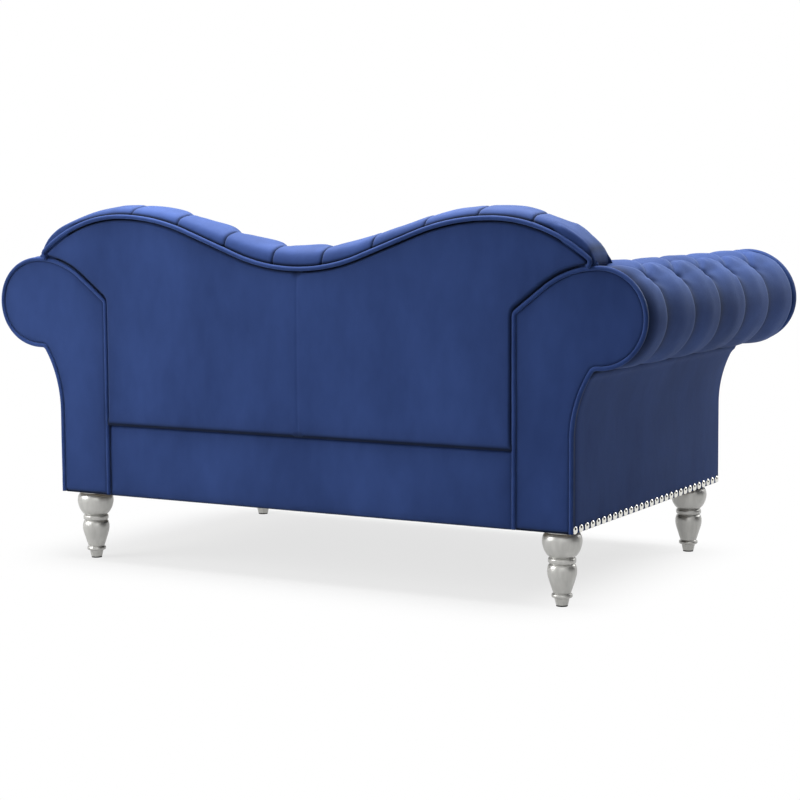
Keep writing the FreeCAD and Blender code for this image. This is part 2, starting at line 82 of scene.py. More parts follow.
def smoothLine(points, count):
    p = np.asarray(points, float)
    p = np.vstack([2 * p[0] - p[1], p, 2 * p[-1] - p[-2]])
    out = []
    spans = len(p) - 3
    for mark in np.linspace(0, spans - 1e-6, count):
        i = int(mark)
        t = mark - i
        a, b, c, d = p[i:i + 4]
        bend = (2 * a - 5 * b + 4 * c - d) * t * t
        out.append(0.5 * (2 * b + (c - a) * t + bend + (3 * b - a - 3 * c + d) * t ** 3))
    return np.array(out)


def smoothstep(x):
    x = np.clip(x, 0, 1)
    return x * x * (3 - 2 * x)


def softNoise(points, scale, seed):
    shift = Vector((seed * 7.3, seed * 3.1, seed * 5.7))
    return np.array([noise.noise(Vector(p) * scale + shift) for p in points])


# arm outline in runs, from the inner bottom up over the roll to the outer bottom
rollCentre = (arm["rollX"], arm["rollZ"])
shoulderCentre = (arm["rollX"], arm["rollZ"] + arm["rollRadius"] - arm["shoulderRadius"])
flareCentre = (arm["outer"] + arm["flareRadius"], arm["flareStart"])


def slopeAngle():
    dx = arm["inner"] - shoulderCentre[0]
    dz = arm["cornerHeight"] - shoulderCentre[1]
    return math.degrees(math.atan2(dz, dx) - math.acos(arm["shoulderRadius"] / math.hypot(dx, dz)))


def slopeHeight(x, offset):
    nx = math.cos(math.radians(slopeAngle()))
    nz = math.sin(math.radians(slopeAngle()))
    return shoulderCentre[1] + (arm["shoulderRadius"] + offset - (x - shoulderCentre[0]) * nx) / nz


def armTop(x, offset):
    reach = arm["shoulderRadius"] + offset
    if x < shoulderCentre[0] + reach * math.cos(math.radians(slopeAngle())):
        return slopeHeight(x, offset)
    return shoulderCentre[1] + math.sqrt(reach ** 2 - (x - shoulderCentre[0]) ** 2)


def neckCentre():
    dx = flareCentre[0] - rollCentre[0]
    dz = flareCentre[1] - rollCentre[1]
    gap = math.hypot(dx, dz)
    r1 = arm["rollRadius"] + arm["neckRound"]
    r2 = arm["flareRadius"] - arm["neckRound"]
    forward = (r1 ** 2 - r2 ** 2 + gap ** 2) / (2 * gap)
    side = math.sqrt(r1 ** 2 - forward ** 2)
    x = rollCentre[0] + (forward * dx + side * dz) / gap
    return (x, rollCentre[1] + (forward * dz - side * dx) / gap)


def armRuns(offset, bottom):
    slope = slopeAngle()
    corner = max(arm["cornerRound"] + offset, 0.001)
    cornerX = arm["inner"] - offset + corner
    cornerMid = (cornerX, slopeHeight(cornerX, offset - corner))
    neck = neckCentre()
    rollEnd = bearing(rollCentre, neck)
    flareEnd = bearing(flareCentre, neck)
    cornerArc = arcPoints(cornerMid, corner, 180, slope, 0.002)
    shoulder = arcPoints(shoulderCentre, arm["shoulderRadius"] + offset, slope, 90)
    outerX = arm["outer"] + offset
    return [
        np.array([(arm["inner"] - offset, bottom), cornerArc[0]]),
        cornerArc,
        np.array([cornerArc[-1], shoulder[0]]),
        shoulder,
        arcPoints(rollCentre, arm["rollRadius"] + offset, 90, 0),
        arcPoints(rollCentre, arm["rollRadius"] + offset, 0, rollEnd),
        arcPoints(neck, arm["neckRound"] - offset, rollEnd + 180, flareEnd, 0.002),
        arcPoints(flareCentre, arm["flareRadius"] - offset, flareEnd, 180),
        np.array([(outerX, arm["flareStart"]), (outerX, bottom)]),
    ]


def armLine(offset, bottom, first=0, last=9):
    return np.vstack(armRuns(offset, bottom)[first:last])


# the roll at +X is a little fuller than the other one
def fullRoll(line, side):
    out = np.array(line)
    share = smoothstep((out[:, 0] - arm["rollX"] + 0.03) / (arm["rollRadius"] + 0.03))
    out[:, 0] += arm["fuller"][side] * share * (out[:, -1] > arm["fullerFrom"])
    return out


# back outline
dipCentre = (0.0, back["dipHeight"] + back["dipRadius"])
humpCentre = (back["humpX"], back["humpHeight"] - back["humpRadius"])
earCentre = (back["humpX"], back["humpHeight"] - back["earRadius"])


def humpSlope():
    gap = math.hypot(humpCentre[0] - dipCentre[0], humpCentre[1] - dipCentre[1])
    lean = math.degrees(math.acos((back["dipRadius"] + back["humpRadius"]) / gap))
    return bearing(dipCentre, humpCentre) - lean


def backContour(inset, endAngle):
    slope = humpSlope()
    half = np.vstack([arcPoints(dipCentre, back["dipRadius"] + inset, -90, slope),
                      arcPoints(humpCentre, back["humpRadius"] - inset, slope + 180, 90),
                      arcPoints(earCentre, back["earRadius"] - inset, 90, endAngle)])
    return np.vstack([half[::-1] * [-1, 1], half[1:]])


# the same outline, turned round the tip of each ear
def tippedContour(inset):
    reach = back["earRadius"] - back["tipRadius"]
    turn = math.radians(back["earEnd"])
    centre = (earCentre[0] + reach * math.cos(turn), earCentre[1] + reach * math.sin(turn))
    tip = arcPoints(centre, back["tipRadius"] - inset, back["earEnd"], back["tipEnd"], 0.002)[1:]
    return np.vstack([tip[::-1] * [-1, 1], backContour(inset, back["earEnd"]), tip])


contourTable = backContour(0, 40)


def contourHeight(x):
    return np.interp(x, contourTable[:, 0], contourTable[:, 1])


# mesh helpers
def placeMesh(name, mesh):
    piece = bpy.data.objects.new(name, mesh)
    bpy.context.collection.objects.link(piece)
    mesh.polygons.foreach_set("use_smooth", [True] * len(mesh.polygons))
    return piece


def newPiece(name, verts, faces):
    mesh = bpy.data.meshes.new(name)
    mesh.from_pydata([tuple(v) for v in verts], [], [tuple(int(i) for i in f) for f in faces])
    mesh.update()
    return placeMesh(name, mesh)


def pieceFrom(name, mesh):
    data = bpy.data.meshes.new(name)
    mesh.to_mesh(data)
    mesh.free()
    return placeMesh(name, data)


def makeActive(piece):
    bpy.ops.object.select_all(action="DESELECT")
    piece.select_set(True)
    bpy.context.view_layer.objects.active = piece


def applyModifier(piece, kind, **values):
    makeActive(piece)
    modifier = piece.modifiers.new(kind.lower(), kind)
    for key, value in values.items():
        setattr(modifier, key, value)
    bpy.ops.object.modifier_apply(modifier=modifier.name)


def thicken(piece, thick):
    applyModifier(piece, "SOLIDIFY", thickness=thick, offset=-1, use_rim=True)


def joinPieces(first, second):
    makeActive(first)
    second.select_set(True)
    bpy.ops.object.join()


def faceOutward(piece):
    makeActive(piece)
    bpy.ops.object.mode_set(mode="EDIT")
    bpy.ops.mesh.select_all(action="SELECT")
    bpy.ops.mesh.normals_make_consistent(inside=False)
    bpy.ops.object.mode_set(mode="OBJECT")


def faceTowards(piece, direction, above=0.0):
    up = Vector(direction)
    if sum(p.normal.dot(up) for p in piece.data.polygons if p.center.z > above) < 0:
        piece.data.flip_normals()


def lineNormals(path):
    along = np.gradient(path, axis=0)
    along /= np.linalg.norm(along, axis=1)[:, None]
    return np.stack([-along[:, 1], along[:, 0]], 1)


def raisedGrid(path, normal, height, y):
    x = path[:, 0][:, None] + normal[:, 0][:, None] * height
    return np.stack([x, y, path[:, 1][:, None] + normal[:, 1][:, None] * height], -1)


def gridFaces(rows, columns):
    i, j = np.meshgrid(np.arange(rows - 1), np.arange(columns - 1), indexing="ij")
    a = i * columns + j
    return np.stack([a, a + 1, a + columns + 1, a + columns], -1).reshape(-1, 4)


def ringFaces(rings, sides, closed=False):
    faces = []
    for i in range(rings if closed else rings - 1):
        ahead = (i + 1) % rings * sides
        for k in range(sides):
            following = (k + 1) % sides
            faces.append((i * sides + k, i * sides + following, ahead + following, ahead + k))
    return faces


def flipAcross(piece):
    for v in piece.data.vertices:
        v.co.x = -v.co.x
    piece.data.flip_normals()


def mirrorPiece(piece, name):
    other = piece.copy()
    other.data = piece.data.copy()
    other.name = name
    bpy.context.collection.objects.link(other)
    flipAcross(other)
    return other


# how much painted shade each point gets in creases, folds, tuft pockets and along seams, from 0 to 1; the
# velvet darkens its colour by it
def paintCreaseShade(piece, values):
    layer = piece.data.attributes.new("paintedShade", "FLOAT", "POINT")
    layer.data.foreach_set("value", np.clip(values, 0, 1).ravel())


def finishPiece(piece, material, body, *nodes):
    piece.data.materials.clear()
    piece.data.materials.append(material)
    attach(piece, body)
    if nodes:
        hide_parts(*nodes)
    return piece


def edgeDistance(points, outline):
    closed = np.vstack([outline, outline[:1]])
    best = np.full(len(points), 1e9)
    for a, b in zip(closed[:-1], closed[1:]):
        ab = b - a
        t = np.clip(((points - a) @ ab) / max(ab @ ab, 1e-12), 0, 1)
        best = np.minimum(best, np.linalg.norm(points - a - t[:, None] * ab, axis=1))
    return best


def insideOutline(point, outline):
    x, z = point
    following = np.roll(outline, -1, 0)
    spans = (outline[:, 1] > z) != (following[:, 1] > z)
    rise = np.where(spans, following[:, 1] - outline[:, 1], 1.0)
    crossing = outline[:, 0] + (z - outline[:, 1]) / rise * (following[:, 0] - outline[:, 0])
    return np.sum(spans & (crossing > x)) % 2 == 1


# a cover stretched over a flat board: filled outline, drawn in along its edges
stretchLook = {"rings": (0.002, 0.0045, 0.0062, 0.008, 0.0125), "clear": 0.017, "seamClear": 0.008,
               "seamColumns": (-0.006, -0.0025, 0.0, 0.0025, 0.006), "seamDip": 0.0011, "edgeFade": 0.0055,
               "lipFade": 0.0035, "waves": 0.0012, "ripples": 0.0007, "shadeFade": 0.0024}


def stretchedCover(name, outline, plane, towards, step, drawIn, swell, seed,
                   thick=0.006, firm=0.0, seam=False, lip=0):
    outline, _ = resample(np.vstack([outline, outline[:1]]), step * 0.6)
    outline = outline[:-1]
    low = outline.min(0)
    high = outline.max(0)
    xs = np.arange(low[0] + step / 2, high[0], step)
    zs = np.arange(low[1] + step / 2, high[1], step)
    inside = np.array([(x + (step / 4 if k % 2 else -step / 4), z) for k, z in enumerate(zs) for x in xs])
    inside = inside[edgeDistance(inside, outline) > stretchLook["clear"]]
    tangent = np.roll(outline, -1, 0) - np.roll(outline, 1, 0)
    inward = np.stack([-tangent[:, 1], tangent[:, 0]], 1) / np.linalg.norm(tangent, axis=1)[:, None]
    turned = np.sum(outline[:, 0] * np.roll(outline[:, 1], -1) - np.roll(outline[:, 0], -1) * outline[:, 1])
    for gap in stretchLook["rings"]:
        ring = outline + inward * gap * math.copysign(1, turned)
        inside = np.vstack([inside, ring[edgeDistance(ring, outline) > gap * 0.93]])
    inside = inside[[insideOutline(p, outline) for p in inside]]
    if seam:
        inside = inside[np.abs(inside[:, 0]) > stretchLook["seamClear"]]
        seamHeights = np.arange(low[1] + 0.015, back["dipHeight"] - 0.02, 0.008)
        for x in stretchLook["seamColumns"]:
            inside = np.vstack([inside, [(x, z) for z in seamHeights]])
    verts = [Vector(p) for p in np.vstack([outline, inside])]
    count = len(outline)
    edges = [(i, (i + 1) % count) for i in range(count)]
    flat, _, faces, _, _, _ = geometry.delaunay_2d_cdt(verts, edges, [], 1, 1e-6)
    flat = np.array([tuple(p) for p in flat])
    apart = edgeDistance(flat, outline)
    drawIn = drawIn * (1 - firm * smoothstep((low[1] + 0.03 - flat[:, 1]) / 0.02))
    edgeFall = np.exp(-apart / stretchLook["edgeFade"])
    if lip:
        edgeFall = 1 - smoothstep((apart - lip) / stretchLook["lipFade"])
    rise = -drawIn * edgeFall + swell * (1 - np.exp(-apart / 0.09))
    space = np.stack([flat[:, 0], np.zeros(len(flat)), flat[:, 1]], 1)
    rise += stretchLook["waves"] * softNoise(space, 7.0, seed) * (1 - np.exp(-apart / 0.03))
    ripples = softNoise(space * [3.0, 1, 1], 12.0, seed + 1)
    rise += stretchLook["ripples"] * ripples * np.exp(-apart / 0.03)
    if seam:
        rise -= stretchLook["seamDip"] * np.exp(-(flat[:, 0] / 0.0022) ** 2) * smoothstep(apart / 0.02)
    points = np.stack([flat[:, 0], plane + towards * rise, flat[:, 1]], 1)
    piece = newPiece(name, points, faces)
    # painted shade along the cover's edges where it tucks in, plus a wider soft dark band
    edgeShade = np.exp(-np.maximum(apart - lip, 0) / stretchLook["shadeFade"])
    paintCreaseShade(piece, edgeShade + 0.25 * np.exp(-apart / 0.02))
    faceOutward(piece)
    faceTowards(piece, (0, towards, 0))
    thicken(piece, thick)
    return piece


# sewn cord in its own cover along a line of 3-D points
weltLook = {"radius": 0.0048, "cushionRadius": 0.0045, "sides": 14, "step": 0.005, "uneven": 0.05,
            "inset": -0.0025, "out": 0.0075}


def weltAlong(name, points, radius, closed, seed, flatNormal=(0, 1, 0), shade=1):
    line, _ = resample(np.vstack([points, points[:1]]) if closed else points, weltLook["step"])
    if closed:
        line = line[:-1]
    sides = weltLook["sides"]
    ahead = np.roll(line, -1, 0) - np.roll(line, 1, 0)
    if not closed:
        ahead[0] = line[1] - line[0]
        ahead[-1] = line[-1] - line[-2]
    ahead /= np.linalg.norm(ahead, axis=1)[:, None]
    flatNormal = np.array(flatNormal, float)
    sideways = np.cross(ahead, flatNormal)
    sideways /= np.linalg.norm(sideways, axis=1)[:, None]
    width = radius * (1 + weltLook["uneven"] * softNoise(line, 30.0, seed))
    verts = []
    for k in range(sides):
        angle = 2 * math.pi * k / sides
        verts.append(line + width[:, None] * (math.cos(angle) * sideways + math.sin(angle) * flatNormal))
    verts = np.stack(verts, 1).reshape(-1, 3)
    # painted shade on the half of the welt that turns into the seam; none when shade is 0
    paintedShadeAmount = 0.35 - shade * np.sin(2 * np.pi * np.arange(sides) / sides)
    count = len(line)
    faces = ringFaces(count, sides, closed)
    if not closed:
        faces.append(tuple(range(sides))[::-1])
        faces.append(tuple((count - 1) * sides + k for k in range(sides)))
    piece = newPiece(name, verts, faces)
    if shade:
        paintCreaseShade(piece, np.tile(0.65 * smoothstep(paintedShadeAmount / 0.9), count))
    faceOutward(piece)
    return piece


# materials
def nodeMaterial(name):
    material = bpy.data.materials.new(name)
    material.use_nodes = True
    nodes = material.node_tree.nodes
    return material, nodes, material.node_tree.links, nodes["Principled BSDF"]


def addNode(nodes, kind, **values):
    node = nodes.new(kind)
    for key, value in values.items():
        if key in node.inputs:
            node.inputs[key].default_value = value
        else:
            setattr(node, key, value)
    return node


def setInputs(node, values):
    for key, value in values.items():
        node.inputs[key].default_value = value


def objectPlace(nodes, links, stretch=None):
    place = addNode(nodes, "ShaderNodeTexCoord").outputs["Object"]
    if stretch is None:
        return place
    turn = addNode(nodes, "ShaderNodeMapping")
    turn.inputs["Scale"].default_value = stretch
    links.new(place, turn.inputs["Vector"])
    return turn.outputs["Vector"]


def cloudNoise(nodes, links, place, scale, detail, rough):
    cloud = addNode(nodes, "ShaderNodeTexNoise", Scale=scale, Detail=detail, Roughness=rough)
    links.new(place, cloud.inputs["Vector"])
    return cloud.outputs["Fac"]


def mixValues(nodes, links, first, second, share):
    both = addNode(nodes, "ShaderNodeMix", data_type="FLOAT")
    both.inputs[0].default_value = share
    links.new(first, both.inputs[2])
    links.new(second, both.inputs[3])
    return both.outputs[0]


# two colours along a value, into the given socket
def paint(nodes, links, value, target, dark, pale, ends=(0.0, 1.0)):
    ramp = addNode(nodes, "ShaderNodeValToRGB")
    for element, colour, spot in zip(ramp.color_ramp.elements, (dark, pale), ends):
        element.position = spot
        element.color = tuple(colour) + (1,)
    links.new(value, ramp.inputs["Fac"])
    links.new(ramp.outputs["Color"], target)


def roughBetween(nodes, links, shader, value, low, high):
    spread = addNode(nodes, "ShaderNodeMapRange")
    setInputs(spread, {"To Min": low, "To Max": high})
    links.new(value, spread.inputs["Value"])
    links.new(spread.outputs["Result"], shader.inputs["Roughness"])


# the shader reads the last bump added, which may lie over an earlier one
def addBump(nodes, links, shader, value, strength, distance, under=None):
    bump = addNode(nodes, "ShaderNodeBump", Strength=strength, Distance=distance)
    links.new(value, bump.inputs["Height"])
    if under is not None:
        links.new(under, bump.inputs["Normal"])
    links.new(bump.outputs["Normal"], shader.inputs["Normal"])
    return bump.outputs["Normal"]


velvetTint = (0.46, 0.62, 1.0, 1)
# the near-black blue colour in this table is the painted shade that creases, seams and tuft pockets are
# darkened towards
velvetLook = {"deep": (0.0126, 0.0272, 0.0985), "light": (0.0246, 0.0492, 0.164), "napEnds": (0.30, 0.70),
              "paintedShade": (0.0012, 0.0022, 0.008, 1), "paintedShadeShare": 0.92, "blotch": 5.5, "brushed": 38.0,
              "brushedShare": 0.28, "fibre": 1400.0,
              "surface": {"Roughness": 0.85, "Specular IOR Level": 0.2, "Specular Tint": velvetTint,
                          "Sheen Weight": 0.14, "Sheen Roughness": 0.42, "Sheen Tint": velvetTint}}


def velvet(name, lift=1.0, streak=(1.0, 1.0, 1.0)):
    material, nodes, links, shader = nodeMaterial(name)
    streaked = objectPlace(nodes, links, streak)
    blotch = cloudNoise(nodes, links, streaked, velvetLook["blotch"], 3.0, 0.55)
    brushed = cloudNoise(nodes, links, streaked, velvetLook["brushed"], 4.0, 0.6)
    fibre = cloudNoise(nodes, links, objectPlace(nodes, links), velvetLook["fibre"], 2.0, 0.7)
    nap = mixValues(nodes, links, blotch, brushed, velvetLook["brushedShare"])
    # painted shade: the nap colour is mixed towards near-black blue by each point's shade amount
    paintedShade = addNode(nodes, "ShaderNodeAttribute", attribute_name="paintedShade")
    paintedShadeAmount = addNode(nodes, "ShaderNodeMath", operation="MULTIPLY")
    paintedShadeAmount.inputs[1].default_value = velvetLook["paintedShadeShare"]
    shade = addNode(nodes, "ShaderNodeMix", data_type="RGBA")
    shade.inputs[7].default_value = velvetLook["paintedShade"]
    deep, light = [[c * lift for c in velvetLook[key]] for key in ("deep", "light")]
    paint(nodes, links, nap, shade.inputs[6], deep, light, velvetLook["napEnds"])
    links.new(paintedShade.outputs["Fac"], paintedShadeAmount.inputs[0])
    links.new(paintedShadeAmount.outputs[0], shade.inputs[0])
    links.new(shade.outputs[2], shader.inputs["Base Color"])
    setInputs(shader, velvetLook["surface"])
    pile = addBump(nodes, links, shader, fibre, 0.22, 0.0006)
    addBump(nodes, links, shader, brushed, 0.10, 0.003, pile)
    return material


silverLook = {"grain": (1, 1, 0.25), "dark": (0.40, 0.397, 0.380), "pale": (0.52, 0.516, 0.494),
              "ends": (0.3, 0.75), "metal": 0.62, "rough": (0.30, 0.38)}


def silverPaint(name):
    material, nodes, links, shader = nodeMaterial(name)
    cloud = cloudNoise(nodes, links, objectPlace(nodes, links, silverLook["grain"]), 60.0, 4.0, 0.6)
    flake = cloudNoise(nodes, links, objectPlace(nodes, links), 2600.0, 1.0, 0.5)
    paint(nodes, links, cloud, shader.inputs["Base Color"], silverLook["dark"], silverLook["pale"],
          silverLook["ends"])
    shader.inputs["Metallic"].default_value = silverLook["metal"]
    roughBetween(nodes, links, shader, cloud, *silverLook["rough"])
    addBump(nodes, links, shader, flake, 0.12, 0.0003)
    return material


def plainMetal(name, colour, rough, scale):
    material, nodes, links, shader = nodeMaterial(name)
    smudge = cloudNoise(nodes, links, objectPlace(nodes, links), scale, 3.0, 0.6)
    paint(nodes, links, smudge, shader.inputs["Base Color"], [c * 0.8 for c in colour], colour)
    roughBetween(nodes, links, shader, smudge, rough * 0.7, rough * 1.4)
    shader.inputs["Metallic"].default_value = 1.0
    return material


woodLook = {"stretch": (22, 3, 22), "dark": (0.15, 0.105, 0.065), "pale": (0.36, 0.275, 0.185),
            "ringShare": 0.45, "rough": 0.7}


def sawnWood(name):
    material, nodes, links, shader = nodeMaterial(name)
    stretched = objectPlace(nodes, links, woodLook["stretch"])
    grain = cloudNoise(nodes, links, stretched, 6.0, 6.0, 0.65)
    rings = addNode(nodes, "ShaderNodeTexWave", Scale=1.6, Distortion=7.0, Detail=3.0)
    links.new(stretched, rings.inputs["Vector"])
    both = mixValues(nodes, links, grain, rings.outputs["Fac"], woodLook["ringShare"])
    paint(nodes, links, both, shader.inputs["Base Color"], woodLook["dark"], woodLook["pale"])
    shader.inputs["Roughness"].default_value = woodLook["rough"]
    addBump(nodes, links, shader, grain, 0.2, 0.001)
    return material


def plainCloth(name, dark, pale, weave):
    material, nodes, links, shader = nodeMaterial(name)
    threads = cloudNoise(nodes, links, objectPlace(nodes, links), weave, 3.0, 0.7)
    paint(nodes, links, threads, shader.inputs["Base Color"], dark, pale)
    shader.inputs["Roughness"].default_value = 0.9
    addBump(nodes, links, shader, threads, 0.3, 0.0006)
    return material


velvetPanel = velvet("blue_velvet_panel", 1.0, (1.0, 1.0, 0.45))
velvetPad = velvet("blue_velvet_pad", 1.0)
velvetWelt = velvet("blue_velvet_welt", 1.05)
silverLeg = silverPaint("satin_silver_paint")
nailMetal = plainMetal("bright_nickel", (0.82, 0.81, 0.76), 0.10, 300.0)
zincSteel = plainMetal("zinc_steel", (0.52, 0.53, 0.55), 0.35, 120.0)
frameWood = sawnWood("sawn_wood")
dustCloth = plainCloth("black_dust_cloth", (0.012, 0.012, 0.013), (0.035, 0.035, 0.037), 900.0)
deckCloth = plainCloth("deck_cloth", (0.02, 0.03, 0.08), (0.04, 0.06, 0.14), 700.0)
glidePlastic = plainCloth("black_glide", (0.02, 0.02, 0.02), (0.05, 0.05, 0.05), 400.0)
slotMaterials = {"frame_wood": frameWood, "nail_metal": nailMetal, "steel": zincSteel,
                 "glide_plastic": glidePlastic}
for entry in frame["record"]["subparts"]:
    if entry["material_slot"] in slotMaterials:
        node = frame["nodes"][entry["node"]]
        node.data.materials.clear()
        node.data.materials.append(slotMaterials[entry["material_slot"]])
print("materials made")

# tufted cover of the rolled arm: folds round the roll, diamonds over the top, pleats down the inside
armPad = {"pleats": (-0.266, -0.114, 0.038, 0.190, 0.342), "pitch": 0.152, "step": 0.004, "acrossStep": 0.003,
          "groove": -0.0035, "fold": 0.0118, "rowStep": 0.064, "dimple": 0.012, "dimpleWidth": 0.012,
          "thick": 0.007, "rollFront": -0.4175, "frontGap": 0.006, "rearGap": 0.0045,
          "tuftRange": (-0.36, 0.40), "rays": 0.0020, "rayFade": 0.024, "wrinkles": 0.0014,
          "rearFade": 0.017, "frontFade": 0.007, "rearDip": 0.007, "frontDip": 0.001, "tailDip": 0.006,
          "bulge": 0.006, "sink": 0.0025, "tuck": 0.012}
buttonSize = 0.0085


def armTufts(topMark):
    rows = [topMark + arm["rollRadius"] * math.radians(40) - k * armPad["rowStep"] for k in range(5)]
    tufts = []
    for k, mark in enumerate(rows):
        for y in armPad["pleats"]:
            spot = y + (armPad["pitch"] / 2 if k % 2 else 0)
            if armPad["tuftRange"][0] < spot < armPad["tuftRange"][1]:
                tufts.append((mark, spot))
    return rows, tufts


# share of the way from one pleat to the next
def pleatShare(phase):
    return phase - np.floor(phase)


def foldShape(phase):
    part = pleatShare(phase)
    return (1 - np.exp(-part / 0.03)) * (1 - 0.8 * smoothstep((part - 0.35) / 0.65))


def valleyShape(phase):
    part = pleatShare(phase)
    return np.exp(-np.minimum(part, 1 - part) / 0.08)


# a button's dimple with the small folds round it; gives the painted shade of its pocket
def addTuft(height, along, across, look, turn):
    d = np.sqrt(along ** 2 + across ** 2)
    height -= look["dimple"] * np.exp(-0.5 * (d / look["dimpleWidth"]) ** 2)
    ray = np.sin(7 * np.arctan2(along, across) + turn)
    height += look["rays"] * ray * np.exp(-d / look["rayFade"]) * (1 - np.exp(-d / 0.009))
    return 0.8 * np.exp(-(d / 0.013) ** 2)


def armPadPiece(name, side, seed):
    runs = armRuns(0, arm["padLow"])
    path, marks = resample(fullRoll(np.vstack(runs[0:6]), side), armPad["step"])
    topMark = sum(np.linalg.norm(np.diff(r, axis=0), axis=1).sum() for r in runs[0:4])
    rows, tufts = armTufts(topMark)
    normal = lineNormals(path)
    overhang = smoothstep((marks - topMark + 0.12) / 0.08)
    inner = arm["frontFace"] - armPad["frontGap"]
    front = inner + (armPad["rollFront"] - inner) * overhang
    rear = arm["backFace"] + armPad["rearGap"]
    share = np.linspace(0, 1, int((rear - front.min()) / armPad["acrossStep"]) + 1)
    y = front[:, None] + (rear - front)[:, None] * share
    s = np.broadcast_to(marks[:, None], y.shape)
    w = np.interp(-s, [-m for m in rows], range(5))
    phase = (y - armPad["pleats"][0]) / armPad["pitch"]
    crossing = smoothstep(w / 0.4) * valleyShape(phase + w / 2)
    tail = smoothstep((marks[-1] - s) / 0.08)
    puff = foldShape(phase - w / 2) * (1 - 0.6 * crossing)
    swell = 1 + 0.35 * smoothstep(w / 0.5) * smoothstep((s - 0.30) / 0.08)
    height = armPad["groove"] + armPad["fold"] * swell * puff * (0.45 + 0.55 * tail)
    tuftShade = np.zeros(s.shape)
    for k, (mark, spot) in enumerate(tufts):
        tuftShade += addTuft(height, s - mark, y - spot, armPad, k * 1.7 + seed)
    flat = np.stack([s.ravel() * 1.2, y.ravel(), np.zeros(s.size)], 1)
    height += armPad["wrinkles"] * softNoise(flat, 15.0, seed).reshape(s.shape) * puff
    rearEnd = np.exp(-(rear - y) / armPad["rearFade"])
    frontEnd = np.exp(-(y - front[:, None]) / armPad["frontFade"])
    outward = np.clip(normal[:, 0], 0, 1)[:, None] * overhang[:, None]
    height += armPad["bulge"] * outward * smoothstep((-0.25 - y) / 0.16)
    upward = np.clip(normal[:, 1], 0, 1)[:, None] * overhang[:, None]
    height -= armPad["sink"] * upward * (1 - np.exp(-(y - front[:, None]) / 0.03))
    height = height * (1 - rearEnd) * (1 - 0.6 * frontEnd)
    height -= armPad["rearDip"] * rearEnd + armPad["frontDip"] * frontEnd
    height -= armPad["tailDip"] * (1 - smoothstep((marks[-1] - s) / 0.022))
    verts = raisedGrid(path, normal, height, y)
    tuck = verts[-1] + np.array([-armPad["tuck"], 0, armPad["tuck"]])
    verts = np.concatenate([verts, tuck[None]], 0)
    piece = newPiece(name, verts.reshape(-1, 3), gridFaces(verts.shape[0], verts.shape[1])[:, ::-1])
    # painted shade: a dark line after each fold's crest, along the valleys, beside the rear welt, at the
    # front edge, at the tucked tail and in the tuft pockets
    part = pleatShare(phase - w / 2)
    paintedShade = np.exp(-part * armPad["pitch"] / 0.0028)
    paintedShade += 0.95 * np.exp(-((1 - part) * armPad["pitch"] / 0.025) ** 2) + 0.35 * crossing
    paintedShade += 0.95 * np.exp(-((rear - y) / (0.018 + 0.014 * outward)) ** 2)
    paintedShade += 0.7 * frontEnd * np.exp(-(y - front[:, None]) / 0.003)
    paintedShade += 0.8 * (1 - smoothstep((marks[-1] - s) / 0.03)) + tuftShade
    paintCreaseShade(piece, np.concatenate([paintedShade, paintedShade[-1:]], 0))
    faceTowards(piece, (0, 0, 1), arm["rollZ"] + 0.063)
    thicken(piece, armPad["thick"])
    places = []
    ups = []
    for mark, spot in tufts:
        i = int(np.argmin(np.abs(marks - mark)))
        j = int(np.argmin(np.abs(y[i] - spot)))
        places.append(verts[i, j] + 0.001 * np.array([normal[i, 0], 0, normal[i, 1]]))
        ups.append((normal[i, 0], 0, normal[i, 1]))
    return piece, places, ups


def buttonRow(name, spots, normals, size):
    mesh = bmesh.new()
    for spot, up in zip(spots, normals):
        turn = Vector((0, 0, 1)).rotation_difference(Vector(up)).to_matrix().to_4x4()
        turn.translation = Vector(spot)
        made = bmesh.ops.create_uvsphere(mesh, u_segments=14, v_segments=8, radius=size)
        for v in made["verts"]:
            v.co.z *= 0.42
            v.co = turn @ v.co
    return pieceFrom(name, mesh)


for side, seed in (("right", 1), ("left", 4)):
    piece, places, ups = armPadPiece("arm_tufted_cover_" + side, side, seed)
    buttons = buttonRow("arm_tuft_buttons_" + side, places, ups, buttonSize)
    if side == "left":
        flipAcross(piece)
        flipAcross(buttons)
    finishPiece(piece, velvetPad, "frame", "arm_pad_" + side)
    finishPiece(buttons, velvetWelt, "frame", "arm_buttons_" + side)
print("arm covers made")

# padded back: crowned boxing over the top, diamonds on the front, straight pleats to the seat
backPad = {"pitch": 0.124, "firstPleat": 0.062, "columnStep": 0.004, "upperRows": 64, "lowerRows": 70,
           "crest": 0.011, "groove": -0.004, "rowStep": 0.075, "firstRow": 0.105, "thick": 0.006,
           "end": 0.664, "tip": 0.693, "dimple": 0.012, "dimpleWidth": 0.013, "tuftReach": 0.47,
           "rays": 0.0010, "rayFade": 0.022, "wrinkles": 0.0014, "plainFrom": 0.49, "overFrom": 0.075}
backShape = {"edgeY": 0.4365, "bulgeY": 0.4425, "shoulderY": 0.432, "crestY": 0.405, "topY": 0.372,
             "frontY": 0.318, "frontDrop": 0.055, "seat": (0.198, 0.500), "earY": 0.345,
             "low": [(0.200, 0.505), (0.190, 0.42), (0.194, 0.3185)]}


def crownRise(x):
    drop = (back["humpHeight"] - contourHeight(x)) / (back["humpHeight"] - back["dipHeight"])
    return 0.021 + (0.023 if abs(x) < back["humpX"] else 0.013) * drop


